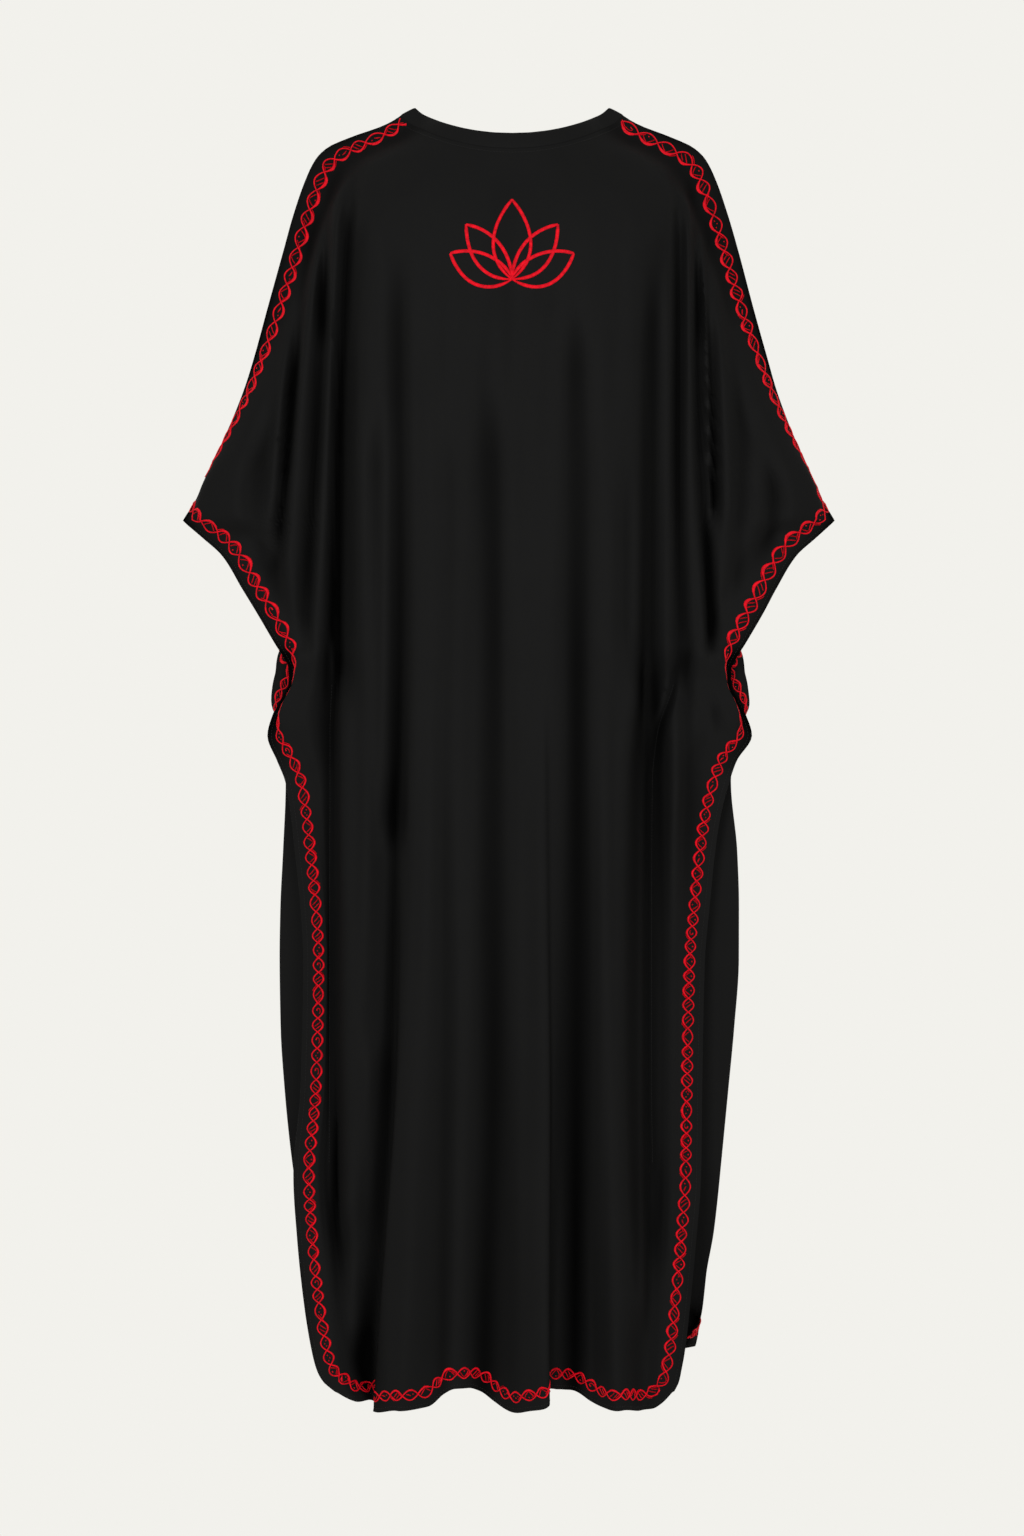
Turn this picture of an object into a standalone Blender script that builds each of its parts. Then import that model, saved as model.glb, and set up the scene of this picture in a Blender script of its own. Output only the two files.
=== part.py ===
"""Long butterfly kaftan, filled out as when worn: back panel, front panel and neck band.

The tables and sizes are in millimetres, and the meshes in metres. +Z is up, the back of the garment
faces -Y, and the origin lies between the two points where the shoulders meet the neck.

Each panel is one piece of cloth, cut in one with its half sleeves. Its outer edge runs from the neck
over the shoulder and the arm to the sleeve's tip, in along the sleeve's mouth to the underarm, and
down the free side flap to the rounded hem corner. The two panels are sewn together along the shoulder
and the arm, and down a side seam that lies just inside the flaps' borders.
"""

import math
from typing import NamedTuple

import bpy
import numpy as np

MM = 0.001

WALL = 2.0
SEAM_GAP = 0.3
LARGEST_MITRE = 2.5
SHARP_FROM = 75.0

MARGIN_WIDTH = 7.5
BORDER_WIDTH = 18.0
BAND_HEIGHT = 18.0
BAND_LEAN = 12.0
BAND_LEAN_AT_SHOULDER = 62.0

NECK_CORNER_HEIGHT = 6.0
SHOULDER_HEIGHT = 53.0
BLADE_HEIGHT = 154.0
TIP_HEIGHT = 448.0
MOUTH_END_HEIGHT = 585.0
FLAP_HEIGHT = 733.0
SEAM_END_HEIGHT = 1150.0
CORNER_HEIGHT = 1320.0
HEM_CORNER_WIDTH = 30.0
HEM_CORNER_START = 110.0
HEM_LIFT = 0.15
NECK_FADE = 110.0

# How far up the neckline has risen at each share of the way from its middle to its ends
NECK_CURVE = (
    (0.0, 0.0),
    (0.14, 0.014),
    (0.28, 0.057),
    (0.42, 0.134),
    (0.56, 0.257),
    (0.7, 0.42),
    (0.76, 0.512),
    (0.81, 0.6),
    (0.86, 0.69),
    (0.93, 0.82),
    (1.0, 1.0),
)

SEAM_DEPTH = -31.0
BACK_SEAM = SEAM_DEPTH - WALL - SEAM_GAP / 2
FRONT_SEAM = SEAM_DEPTH + WALL + SEAM_GAP / 2

FOLD_EDGE_CLEARANCE = 20.0
FOLD_EDGE_FADE = 35.0
FOLD_SEAM_FADE = 10.0
FOLD_START = 120.0
FOLD_END = 60.0
SEAM_START = 60.0
SEAM_FREE = 90.0

# Columns of faces between one station of a section and the next, from the edge to the middle.
STATION_COLUMNS = (1, 2, 2, 3, 3, 6, 6)
FLANK_SHARE = 0.74
QUARTER_SHARE = 0.4


class Span(NamedTuple):
    """A stretch of height that is cut into equal rows of faces."""

    top: float
    bottom: float
    rows: int


class Edge(NamedTuple):
    """One height of a panel's outer edge.

    left and right are the edge's distances from the middle, and depth is its place along Y. From the
    edge inwards the margin and then the border turn away from the panel's plane by their angles in
    degrees. reach is the border's crossing along the section against its width square to the edge.
    """

    height: float
    left: float
    right: float
    depth: float
    margin_turn: float
    border_turn: float
    reach: float


class Body(NamedTuple):
    """One section of a panel inside its border: the place along Y of each of its stations.

    drop is how far the section's middle hangs below its ends, because near the neck the sections
    run from shoulder to shoulder in a bow. belly is how far the cloth between the border and the
    side line swells outwards.
    """

    height: float
    drop: float
    belly: float
    side: float
    flank: float
    quarter: float
    middle: float


class SideLine(NamedTuple):
    """The line where the arm meets the body, which is the side seam below the underarm."""

    height: float
    left: float
    right: float


class Fold(NamedTuple):
    """A hanging fold: a soft ridge (rise above 0) or trough (below 0) with its own two flanks."""

    top: float
    bottom: float
    x_top: float
    x_half: float
    x_bottom: float
    left: float
    right: float
    rise_top: float
    rise_bottom: float


class HemPoint(NamedTuple):
    """How far the hem hangs below its plain line at one distance from the middle."""

    x: float
    drop: float


ROW_SPANS = (
    Span(NECK_CORNER_HEIGHT, SHOULDER_HEIGHT, 4),
    Span(SHOULDER_HEIGHT, BLADE_HEIGHT, 3),
    Span(BLADE_HEIGHT, TIP_HEIGHT, 7),
    Span(TIP_HEIGHT, MOUTH_END_HEIGHT, 5),
    Span(MOUTH_END_HEIGHT, FLAP_HEIGHT, 8),
    Span(FLAP_HEIGHT, SEAM_END_HEIGHT, 8),
    Span(SEAM_END_HEIGHT, CORNER_HEIGHT, 4),
)
CORNER_ROWS = 3

SIDE_LINE = (
    SideLine(6, 66, 66),
    SideLine(53, 150, 148),
    SideLine(113, 188, 182),
    SideLine(237, 194, 184),
    SideLine(585, 194, 184),
    SideLine(627, 195, 175),
    SideLine(683, 197, 157),
    SideLine(733, 197, 152),
    SideLine(869, 197.5, 151),
    SideLine(1066, 197.5, 151),
    SideLine(1150, 198, 152),
    SideLine(1298, 184, 150),
    SideLine(1346, 172, 145),
    SideLine(1388, 150, 138),
)

# The shoulder and the arm, which both panels share: height, left, right, depth, then the turns.
BACK_EDGE = (
    Edge(6, 122, 122, 0, 86, 38, 1.0),
    Edge(16, 141, 141, 0, 70, 34, 1.0),
    Edge(28, 175, 172.5, 0, 46, 30, 1.0),
    Edge(40, 202, 198.5, 0, 25, 25, 1.0),
    Edge(53, 215, 211.8, 0, 20, 20, 1.0),
    Edge(78, 227, 224, 0, 20, 20, 1.0),
    Edge(113, 239, 236, 0, 20, 20, 1.0),
    Edge(154, 250.9, 248.4, 4, 25, 25, 1.05),
    Edge(213, 267.9, 264.6, 9, 40, 30, 1.05),
    Edge(270, 284, 281, 13, 60, 45, 1.05),
    Edge(302, 294.5, 290.5, 16, 70, 52, 1.05),
    Edge(349, 313.5, 308, 18, 84, 60, 1.05),
    Edge(403, 337, 330, 18, 92, 82, 1.05),
    Edge(430, 350.5, 344, 11, 75, 65, 1.1),
    Edge(446.5, 359.4, 352.4, 1, 42, 42, 1.2),
    Edge(448, 360, 353, 0, 40, 40, 1.2),
    Edge(450, 358, 351, -1, 38, 38, 1.2),
    Edge(468, 337, 331, -12, 22, 20, 1.4),
    Edge(488, 315, 309, -20, 20, 18, 1.4),
    Edge(525, 292, 286, -30, 20, 18, 1.2),
    Edge(551, 276, 272, -33, 20, 18, 1.15),
    Edge(585, 256, 252, -34, 25, 25, 1.15),
    Edge(598, 248, 244, -30, 30, 55, 1.1),
    Edge(612, 242, 238, -25, 35, 80, 1.0),
    Edge(627, 243, 238, -22, 30, 92, 1.0),
    Edge(645, 251, 245, -22, 30, 95, 1.0),
    Edge(661, 260, 254, -24, 30, 80, 1.0),
    Edge(683, 265, 260, -30, 25, 40, 1.0),
    Edge(711, 254, 243, -35, 15, 15, 1.0),
    Edge(733, 245, 235, -39, 0, 0, 1.0),
    Edge(764, 239, 226, -44, -12, -12, 1.0),
    Edge(809, 234, 219, -44, -12, -12, 1.0),
    Edge(869, 228, 213, -44, -12, -12, 1.0),
    Edge(926, 225, 208, -44, -12, -12, 1.0),
    Edge(1066, 228, 205, -44, -12, -12, 1.0),
    Edge(1158, 236, 204, -42, -5, -5, 1.0),
    Edge(1226, 232, 199, -42, 5, 5, 1.0),
    Edge(1298, 224, 192, -46, 8, 8, 1.0),
    Edge(1346, 215.4, 186, -52, 8, 8, 1.0),
    Edge(1366, 209.8, 182.2, -54, 6, 6, 1.05),
    Edge(1378, 203, 179.5, -55, 5, 5, 1.1),
    Edge(1388, 191, 174.5, -56, 5, 5, 1.15),
)

FRONT_EDGE = (
    Edge(6, 122, 122, 0, 45, 40, 1.0),
    Edge(16, 141, 141, 0, 46, 40, 1.0),
    Edge(28, 175, 172.5, 0, 48, 40, 1.0),
    Edge(40, 202, 198.5, 0, 50, 42, 1.0),
    Edge(53, 215, 211.8, 0, 52, 42, 1.0),
    Edge(78, 227, 224, 0, 52, 42, 1.0),
    Edge(113, 239, 236, 0, 52, 42, 1.0),
    Edge(154, 250.9, 248.4, 4, 48, 40, 1.05),
    Edge(213, 267.9, 264.6, 9, 40, 34, 1.05),
    Edge(270, 284, 281, 13, 32, 28, 1.05),
    Edge(302, 294.5, 290.5, 16, 26, 24, 1.05),
    Edge(349, 313.5, 308, 18, 20, 20, 1.05),
    Edge(403, 337, 330, 18, 16, 18, 1.05),
    Edge(430, 350.5, 344, 11, 22, 24, 1.1),
    Edge(446.5, 359.4, 352.4, 1, 38, 38, 1.2),
    Edge(448, 360, 353, 0, 40, 40, 1.2),
    Edge(450, 358, 351, 1, 38, 38, 1.2),
    Edge(468, 336, 330, 12, 20, 18, 1.4),
    Edge(488, 314, 308, 20, 20, 15, 1.4),
    Edge(525, 290, 284, 24, 30, 25, 1.2),
    Edge(551, 268, 263, 16, 50, 45, 1.15),
    Edge(570, 252, 248, 6, 90, 85, 1.1),
    Edge(585, 240, 236, -4, 125, 120, 1.15),
    Edge(598, 230, 226, -12, 145, 140, 1.4),
    Edge(610, 227, 223, -15, 150, 145, 1.5),
    Edge(622, 231, 227, -16, 150, 143, 1.45),
    Edge(638, 240, 236, -16, 143, 133, 1.3),
    Edge(652, 250, 247, -15, 125, 115, 1.1),
    Edge(664, 255, 252, -15, 100, 92, 1.0),
    Edge(683, 258, 255, -18, 60, 52, 1.0),
    Edge(699, 256, 249, -20, 30, 28, 1.0),
    Edge(711, 253, 241, -20, 10, 10, 1.0),
    Edge(733, 246, 238, -18, 0, 0, 1.0),
    Edge(809, 249, 245, -16, -5, -5, 1.0),
    Edge(869, 252, 247, -14, -8, -8, 1.0),
    Edge(926, 253, 247, -12, -10, -10, 1.0),
    Edge(1002, 252, 242, -10, -10, -10, 1.0),
    Edge(1067, 248, 236, -8, -10, -10, 1.0),
    Edge(1148, 240, 228.5, -4, -10, -10, 1.0),
    Edge(1227, 228, 221.5, 12, -5, -5, 1.0),
    Edge(1277, 221, 214, 24, 0, 0, 1.0),
    Edge(1300, 217, 212.5, 32, 10, 10, 1.0),
    Edge(1322, 211, 210, 34, 60, 60, 1.0),
    Edge(1334, 205, 206.5, 32, 105, 95, 1.1),
    Edge(1342, 199, 200, 30, 115, 105, 1.1),
    Edge(1362, 182, 181, 26, 150, 140, 1.1),
)

BACK_BODY = (
    Body(6, 51, 6, -61, -69, -73, -74),
    Body(53, 75, 9, -66, -88, -96, -94),
    Body(113, 85, 8, -66, -98, -108, -106),
    Body(213, 60, 8, -62, -98, -112, -111),
    Body(303, 30, 11, -58, -95, -109, -109),
    Body(403, 8, 14, -55, -92, -105, -105),
    Body(450, 0, 13, -54, -90, -103, -103),
    Body(585, 0, 6, -45, -84, -99, -99),
    Body(627, 0, 8, BACK_SEAM, -82, -97, -97),
    Body(683, 0, 6, BACK_SEAM, -81, -96, -96),
    Body(733, 0, 2, BACK_SEAM, -80, -95, -95),
    Body(900, 0, 0, BACK_SEAM, -79, -92, -92),
    Body(1150, 0, 0, BACK_SEAM, -76, -86, -86),
    Body(1298, 0, 0, -52, -70, -78, -78),
    Body(1388, 0, 0, -60, -68, -76, -76),
)

FRONT_BODY = (
    Body(6, 103, 6, 60, 73, 81, 83),
    Body(53, 115, 6, 58, 86, 102, 101),
    Body(113, 105, 6, 54, 92, 114, 110),
    Body(213, 70, 9, 47, 94, 124, 115),
    Body(303, 35, 11, 42, 90, 122, 115),
    Body(403, 8, 10, 35, 84, 114, 109),
    Body(450, 0, 11, 31, 80, 110, 106),
    Body(585, 0, 8, 6, 70, 102, 102),
    Body(627, 0, 8, FRONT_SEAM, 66, 100, 101),
    Body(683, 0, 5, FRONT_SEAM, 64, 98, 100),
    Body(733, 0, 1, FRONT_SEAM, 63, 97, 99),
    Body(900, 0, 0, FRONT_SEAM, 60, 94, 96),
    Body(1150, 0, 0, FRONT_SEAM, 60, 90, 92),
    Body(1298, 0, 0, 22, 66, 88, 88),
    Body(1362, 0, 0, 50, 72, 86, 86),
)

BACK_FOLDS = (
    Fold(10, 660, -199, -211, -229, 22, 16, -4, -6),
    Fold(10, 660, -171, -184, -190, 20, 24, -8, -8),
    Fold(120, 1400, -126, -122, -158, 34, 22, -5, -18),
    Fold(300, 1400, -86, -88, -108, 34, 40, 3, 26),
    Fold(280, 1400, -22, -20, -28, 36, 30, -4, -17),
    Fold(450, 1400, 24, 26, 15, 50, 30, 3, 26),
    Fold(140, 1400, 69, 70, 67, 28, 28, -5, -17),
    Fold(300, 1400, 106, 106, 114, 28, 32, 3, 28),
    Fold(120, 680, 150, 151, 152, 24, 22, -7, -10),
    Fold(300, 680, 214, 222, 227, 22, 20, -5, -8),
)

FRONT_FOLDS = (
    Fold(120, 620, -206, -244, -230, 26, 24, -3, -3),
    Fold(120, 620, 200, 236, 222, 24, 26, -3, -3),
    Fold(330, 1380, -140, -132, -150, 30, 26, -5, -22),
    Fold(330, 1380, -92, -96, -108, 30, 32, 4, 28),
    Fold(330, 1380, -44, -48, -62, 28, 32, -4, -28),
    Fold(400, 1380, -2, 0, -8, 30, 34, 4, 28),
    Fold(360, 1380, 44, 46, 48, 28, 30, -4, -28),
    Fold(330, 1380, 90, 92, 98, 28, 30, 4, 26),
    Fold(330, 1380, 136, 134, 142, 26, 26, -5, -20),
)


BACK_HEM = (
    HemPoint(-186, 0),
    HemPoint(-169, 3),
    HemPoint(-160, 4),
    HemPoint(-147, 6),
    HemPoint(-142, 8),
    HemPoint(-134, 8),
    HemPoint(-111, 1),
    HemPoint(-85, 1),
    HemPoint(-73, -8),
    HemPoint(-60, -14),
    HemPoint(-47, -13),
    HemPoint(-34, -6),
    HemPoint(-21, 3),
    HemPoint(-9, 6),
    HemPoint(10, -2),
    HemPoint(22, -7),
    HemPoint(30, -10),
    HemPoint(36, -16),
    HemPoint(50, -12),
    HemPoint(60, -7),
    HemPoint(75, -2),
    HemPoint(93, 3),
    HemPoint(118, 1),
    HemPoint(138, 11),
    HemPoint(150, 10.8),
    HemPoint(161, 7),
    HemPoint(172, 0),
)

FRONT_HEM = (
    HemPoint(-200, 0),
    HemPoint(150, 0),
    HemPoint(180, -4),
    HemPoint(200, -5),
)


class Panel(NamedTuple):
    """One panel: its tables, and which way its outside faces along Y."""

    name: str
    facing: int
    edge: tuple
    body: tuple
    folds: tuple
    hem_height: float
    hem: tuple


BACK = Panel("back_panel", -1, BACK_EDGE, BACK_BODY, BACK_FOLDS, 1396.0, BACK_HEM)
FRONT = Panel("front_panel", 1, FRONT_EDGE, FRONT_BODY, FRONT_FOLDS, 1375.0, FRONT_HEM)


def smooth(at, knots, values):
    """Reads a smooth curve through the values at the knots, which never swings past them."""
    knots = np.asarray(knots, float)
    values = np.asarray(values, float)
    step = np.diff(knots)
    slope = np.diff(values) / step
    before, after = slope[:-1], slope[1:]
    tangent = np.empty_like(values)
    tangent[0], tangent[-1] = slope[0], slope[-1]
    same_way = before * after > 0
    mean = np.where(same_way, before + after, 1.0)
    tangent[1:-1] = np.where(same_way, 2 * before * after / mean, 0.0)
    at = np.clip(at, knots[0], knots[-1])
    i = np.clip(np.searchsorted(knots, at, side="right") - 1, 0, len(step) - 1)
    t = (at - knots[i]) / step[i]
    return (
        values[i] * (1 + 2 * t) * (1 - t) ** 2
        + tangent[i] * step[i] * t * (1 - t) ** 2
        + values[i + 1] * t * t * (3 - 2 * t)
        + tangent[i + 1] * step[i] * t * t * (t - 1)
    )


def neck_curve(share):
    """Rise of the neckline at each share of the way out, as a share of its drop."""
    return smooth(share, [row[0] for row in NECK_CURVE], [row[1] for row in NECK_CURVE])


def column(table, name, at):
    """Reads one named column of a table at the given heights."""
    return smooth(at, [row.height for row in table], [getattr(row, name) for row in table])


def ease(share):
    """Rises smoothly from 0 to 1 while the share does."""
    share = np.clip(share, 0.0, 1.0)
    return share * share * (3 - 2 * share)


def row_heights(panel):
    """Heights of the rows of points at the panel's edges, from the neck down."""
    spans = ROW_SPANS + (Span(CORNER_HEIGHT, panel.edge[-1].height, CORNER_ROWS),)
    heights = [spans[0].top]
    for span in spans:
        heights.extend(np.linspace(span.top, span.bottom, span.rows + 1)[1:])
    return np.array(heights)


def half_section(panel, height, side):
    """Stations of one half of a section from the edge to the middle, as distances out and depths."""
    edge = float(column(panel.edge, side, height))
    depth = float(column(panel.edge, "depth", height))
    reach = float(column(panel.edge, "reach", height))
    out, deep = [edge], [depth]
    for width, turn in ((MARGIN_WIDTH, "margin_turn"), (BORDER_WIDTH, "border_turn")):
        angle = math.radians(float(column(panel.edge, turn, height)))
        out.append(out[-1] - width * reach * math.cos(angle))
        deep.append(deep[-1] + panel.facing * width * reach * math.sin(angle))
    side_line = float(column(SIDE_LINE, side, height))
    side_depth = float(column(panel.body, "side", height))
    belly = panel.facing * float(column(panel.body, "belly", height))
    out += [(out[-1] + side_line) / 2, side_line, side_line * FLANK_SHARE, side_line * QUARTER_SHARE]
    deep += [(deep[-1] + side_depth) / 2 + belly, side_depth]
    deep += [float(column(panel.body, name, height)) for name in ("flank", "quarter")]
    return out, deep


def section_points(panel, height):
    """Points of one whole section from the left edge to the right one, without folds."""
    left_out, left_deep = half_section(panel, height, "left")
    right_out, right_deep = half_section(panel, height, "right")
    x = [-value for value in left_out] + [0.0] + right_out[::-1]
    y = left_deep + [float(column(panel.body, "middle", height))] + right_deep[::-1]
    along = np.concatenate([[0.0], np.cumsum(np.hypot(np.diff(x), np.diff(y)))])
    places = [along[0]]
    for i, count in enumerate(STATION_COLUMNS + STATION_COLUMNS[::-1]):
        places.extend(np.linspace(along[i], along[i + 1], count + 1)[1:])
    places = np.array(places)
    return smooth(places, along, x), smooth(places, along, y)


def fold_rise(panel, x, height):
    """How far the folds lift the cloth outwards at each point of a section."""
    rise = np.zeros_like(x)
    for fold in panel.folds:
        share = np.clip((height - fold.top) / (fold.bottom - fold.top), 0.0, 1.0)
        middle = smooth(share, (0.0, 0.5, 1.0), (fold.x_top, fold.x_half, fold.x_bottom))
        away = x - middle
        flank = np.where(away < 0, fold.left, fold.right)
        shape = (1 + np.cos(math.pi * np.clip(np.abs(away) / flank, 0.0, 1.0))) / 2
        growth = fold.rise_top + (fold.rise_bottom - fold.rise_top) * share ** 2
        start = ease((height - fold.top) / FOLD_START)
        end = 1 - ease((height - fold.bottom + FOLD_END) / FOLD_END)
        rise += growth * start * np.where(fold.bottom > panel.edge[-1].height, 1.0, end) * shape
    return rise


def fold_share(panel, x, height):
    """Where folds may lift the cloth: not at the outer edges, nor at the side seams."""
    left = float(column(panel.edge, "left", height))
    right = float(column(panel.edge, "right", height))
    clear = np.minimum(x + left, right - x) - FOLD_EDGE_CLEARANCE
    share = ease(clear / FOLD_EDGE_FADE)
    sewn = ease((height - MOUTH_END_HEIGHT + SEAM_START / 2) / SEAM_START)
    sewn *= 1 - ease((height - SEAM_END_HEIGHT) / SEAM_FREE)
    for place in (-column(SIDE_LINE, "left", height), column(SIDE_LINE, "right", height)):
        share = share * (1 - sewn * (1 - ease(np.abs(x - place) / FOLD_SEAM_FADE)))
    return share


def panel_points(panel):
    """The panel's outer face as a grid of points, a row for each section."""
    rows = []
    corner_height = panel.edge[-1].height
    for height in row_heights(panel):
        x, y = section_points(panel, height)
        rise = fold_rise(panel, x, height) * fold_share(panel, x, height)
        y = y + panel.facing * rise
        left = float(column(panel.edge, "left", height))
        right = float(column(panel.edge, "right", height))
        share_out = np.clip(np.where(x < 0, -x / left, x / right), 0.0, 1.0)
        neck = 1 - float(ease((height - NECK_CORNER_HEIGHT) / NECK_FADE))
        rise_out = share_out ** 2 * (1 - neck) + neck * neck_curve(share_out)
        z = -height - float(column(panel.body, "drop", height)) * (1 - rise_out)
        near_hem = ease((height - corner_height + HEM_CORNER_START) / HEM_CORNER_START)
        from_edge = np.clip(np.minimum(x + left, right - x) / HEM_CORNER_WIDTH, 0.0, 1.0)
        fall = (panel.hem_height - corner_height) * (1 - (1 - from_edge) ** 2)
        fall += smooth(x, [point.x for point in panel.hem], [point.drop for point in panel.hem])
        z = z - near_hem * (fall + HEM_LIFT * rise)
        rows.append(np.stack([x, y, z], axis=1))
    return np.array(rows)


def unit(vectors):
    """The same directions, each with a length of 1."""
    return vectors / np.linalg.norm(vectors, axis=-1, keepdims=True)


def directions(points):
    """Direction of a row of points at each of them, halfway between its two neighbours' ways."""
    steps = unit(np.diff(points, axis=0))
    return unit(np.concatenate([steps[:1], steps[:-1] + steps[1:], steps[-1:]]))


def grid_normals(points, facing):
    """Unit normals of a grid of points, turned to the panel's outer face."""
    down = directions(points)
    across = directions(points.swapaxes(0, 1)).swapaxes(0, 1)
    return unit(np.cross(across, down)) * facing


def arm_seam(back, front, back_normals, front_normals):
    """Mitres both panels' walls along the shoulders and arms, and parts them by the seam's gap.

    It returns the inward steps of both panels' walls, and moves the outer points in place.
    """
    back_step = -WALL * back_normals
    front_step = -WALL * front_normals
    sewn = row_heights(BACK) <= TIP_HEIGHT + 1e-6
    for col in (0, -1):
        n_back = back_normals[sewn, col]
        n_front = front_normals[sewn, col]
        alike = np.sum(n_back * n_front, axis=1, keepdims=True)
        mitre = -WALL * (n_back + n_front) / (1 + alike)
        length = np.linalg.norm(mitre, axis=1, keepdims=True)
        mitre *= np.minimum(1.0, LARGEST_MITRE * WALL / length)
        back_step[sewn, col] = mitre
        front_step[sewn, col] = mitre
        across = unit(n_front - n_back) * SEAM_GAP / 2
        back[sewn, col] -= across
        front[sewn, col] += across
    return back_step, front_step


def shell_faces(rows, columns, closed):
    """Faces of a wall made of two grids of points, the outer one first, with its rims.

    The rims are triangles whose diagonals run the same way on both pieces of a seam, so that the
    pieces stay parted between their points too.
    """
    inner = rows * columns
    low = (rows - 1) * columns
    faces = []
    last = columns if closed else columns - 1
    for r in range(rows - 1):
        for c in range(last):
            d = (c + 1) % columns
            a, b = r * columns + c, r * columns + d
            e, f = a + columns, b + columns
            faces.append((a, e, f, b))
            faces.append((a + inner, b + inner, f + inner, e + inner))
    for c in range(last):
        d = (c + 1) % columns
        faces.append((c, d, d + inner))
        faces.append((c, d + inner, c + inner))
        faces.append((low + d, low + c, low + d + inner))
        faces.append((low + c, low + c + inner, low + d + inner))
    if not closed:
        for r in range(rows - 1):
            a, e = r * columns, (r + 1) * columns
            b, f = a + columns - 1, e + columns - 1
            faces.append((a, a + inner, e + inner))
            faces.append((a, e + inner, e))
            faces.append((b, f, f + inner))
            faces.append((b, f + inner, b + inner))
    return faces


def wall_object(name, outer, inner, material, closed=False):
    """Makes the closed wall between an outer and an inner grid of points, in millimetres."""
    rows, columns = outer.shape[:2]
    points = np.concatenate([outer.reshape(-1, 3), inner.reshape(-1, 3)]) * MM
    faces = shell_faces(rows, columns, closed)
    mesh = bpy.data.meshes.new(name)
    mesh.from_pydata([tuple(point) for point in points], [], faces)
    mesh.validate()
    mesh.shade_smooth()
    mesh.set_sharp_from_angle(angle=math.radians(SHARP_FROM))
    mesh.materials.append(material)
    obj = bpy.data.objects.new(name, mesh)
    bpy.context.scene.collection.objects.link(obj)
    return obj


def neck_band(back, front, back_inner, front_inner):
    """The band's outer and inner grids: a ring that stands on both panels' neck edges."""
    seam_outer = np.concatenate([back[0, 1:-1], [(back[0, -1] + front[0, -1]) / 2],
                                 front[0, -2:0:-1], [(back[0, 0] + front[0, 0]) / 2]])
    seam_inner = np.concatenate([back_inner[0, 1:-1], [(back_inner[0, -1] + front_inner[0, -1]) / 2],
                                 front_inner[0, -2:0:-1], [(back_inner[0, 0] + front_inner[0, 0]) / 2]])
    middle = seam_outer[:, 1].max() / 2 + seam_outer[:, 1].min() / 2
    inward = -(seam_outer - [0.0, middle, 0.0])
    inward[:, 2] = 0.0
    inward = unit(inward)
    reach = np.abs(seam_outer[:, 0:1]) / np.abs(seam_outer[:, 0]).max()
    lean = np.radians(BAND_LEAN + (BAND_LEAN_AT_SHOULDER - BAND_LEAN) * reach ** 2)
    rise = inward * np.sin(lean) + np.array([0.0, 0.0, 1.0]) * np.cos(lean)
    heights = (SEAM_GAP, BAND_HEIGHT / 2, BAND_HEIGHT)
    outer = np.array([seam_outer + rise * height for height in heights[::-1]])
    across = np.roll(outer, -1, axis=1) - np.roll(outer, 1, axis=1)
    normals = unit(np.cross(across, np.gradient(outer, axis=0)))
    if np.sum(normals * inward) > 0:
        normals = -normals
    inner = outer - WALL * normals
    inner[-1] = seam_inner + rise * SEAM_GAP
    return outer, inner


def black_cloth(name):
    """Black crepe with a soft satin sheen."""
    material = bpy.data.materials.new(name)
    material.use_nodes = True
    shader = material.node_tree.nodes["Principled BSDF"]
    shader.inputs["Base Color"].default_value = (0.0105, 0.0105, 0.010, 1.0)
    shader.inputs["Roughness"].default_value = 0.6
    shader.inputs["Metallic"].default_value = 0.0
    return material


def clear_scene():
    for obj in list(bpy.data.objects):
        bpy.data.objects.remove(obj, do_unlink=True)


def main():
    clear_scene()
    back, front = panel_points(BACK), panel_points(FRONT)
    back_normals = grid_normals(back, BACK.facing)
    front_normals = grid_normals(front, FRONT.facing)
    back_step, front_step = arm_seam(back, front, back_normals, front_normals)
    back_inner, front_inner = back + back_step, front + front_step
    wall_object(BACK.name, back, back_inner, black_cloth("back cloth"))
    wall_object(FRONT.name, front[:, ::-1], front_inner[:, ::-1], black_cloth("front cloth"))
    band_outer, band_inner = neck_band(back, front, back_inner, front_inner)
    wall_object("neck_band", band_outer, band_inner, black_cloth("band cloth"), closed=True)


main()
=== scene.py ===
"""Looks of a long butterfly kaftan: its cloth, twisted border, flower outline, neck band and stitching.

The tables are in millimetres and the meshes in metres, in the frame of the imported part: +Z is up, the
back of the garment faces -Y, and the origin lies between the two points where the shoulders meet the
neck. The tables of the cut are those of the part's solids, apart from the front's hem, which hangs
2.5 mm lower at its right corner here. They are read at a finer pitch, with the narrow folds added.
"""

from __future__ import annotations

import logging
import math
from dataclasses import dataclass
from enum import Enum

import bpy
import numpy as np
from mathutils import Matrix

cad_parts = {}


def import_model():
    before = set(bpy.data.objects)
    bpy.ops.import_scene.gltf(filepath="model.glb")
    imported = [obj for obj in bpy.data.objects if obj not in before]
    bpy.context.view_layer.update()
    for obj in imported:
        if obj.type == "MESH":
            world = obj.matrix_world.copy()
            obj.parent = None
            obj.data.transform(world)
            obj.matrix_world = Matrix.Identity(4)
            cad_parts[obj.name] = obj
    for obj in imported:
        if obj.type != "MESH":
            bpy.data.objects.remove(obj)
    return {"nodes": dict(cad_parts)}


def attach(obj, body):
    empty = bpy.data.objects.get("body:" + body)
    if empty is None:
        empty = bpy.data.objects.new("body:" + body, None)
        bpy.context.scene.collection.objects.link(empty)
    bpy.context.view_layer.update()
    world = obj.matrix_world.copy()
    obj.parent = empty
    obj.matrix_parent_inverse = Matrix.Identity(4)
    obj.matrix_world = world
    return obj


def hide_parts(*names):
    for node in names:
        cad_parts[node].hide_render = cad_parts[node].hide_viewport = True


LOG = logging.getLogger("kaftan")

MM = 0.001
# Keeps a division or a comparison safe, and is far below any size
TINY = 1e-9

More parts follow.
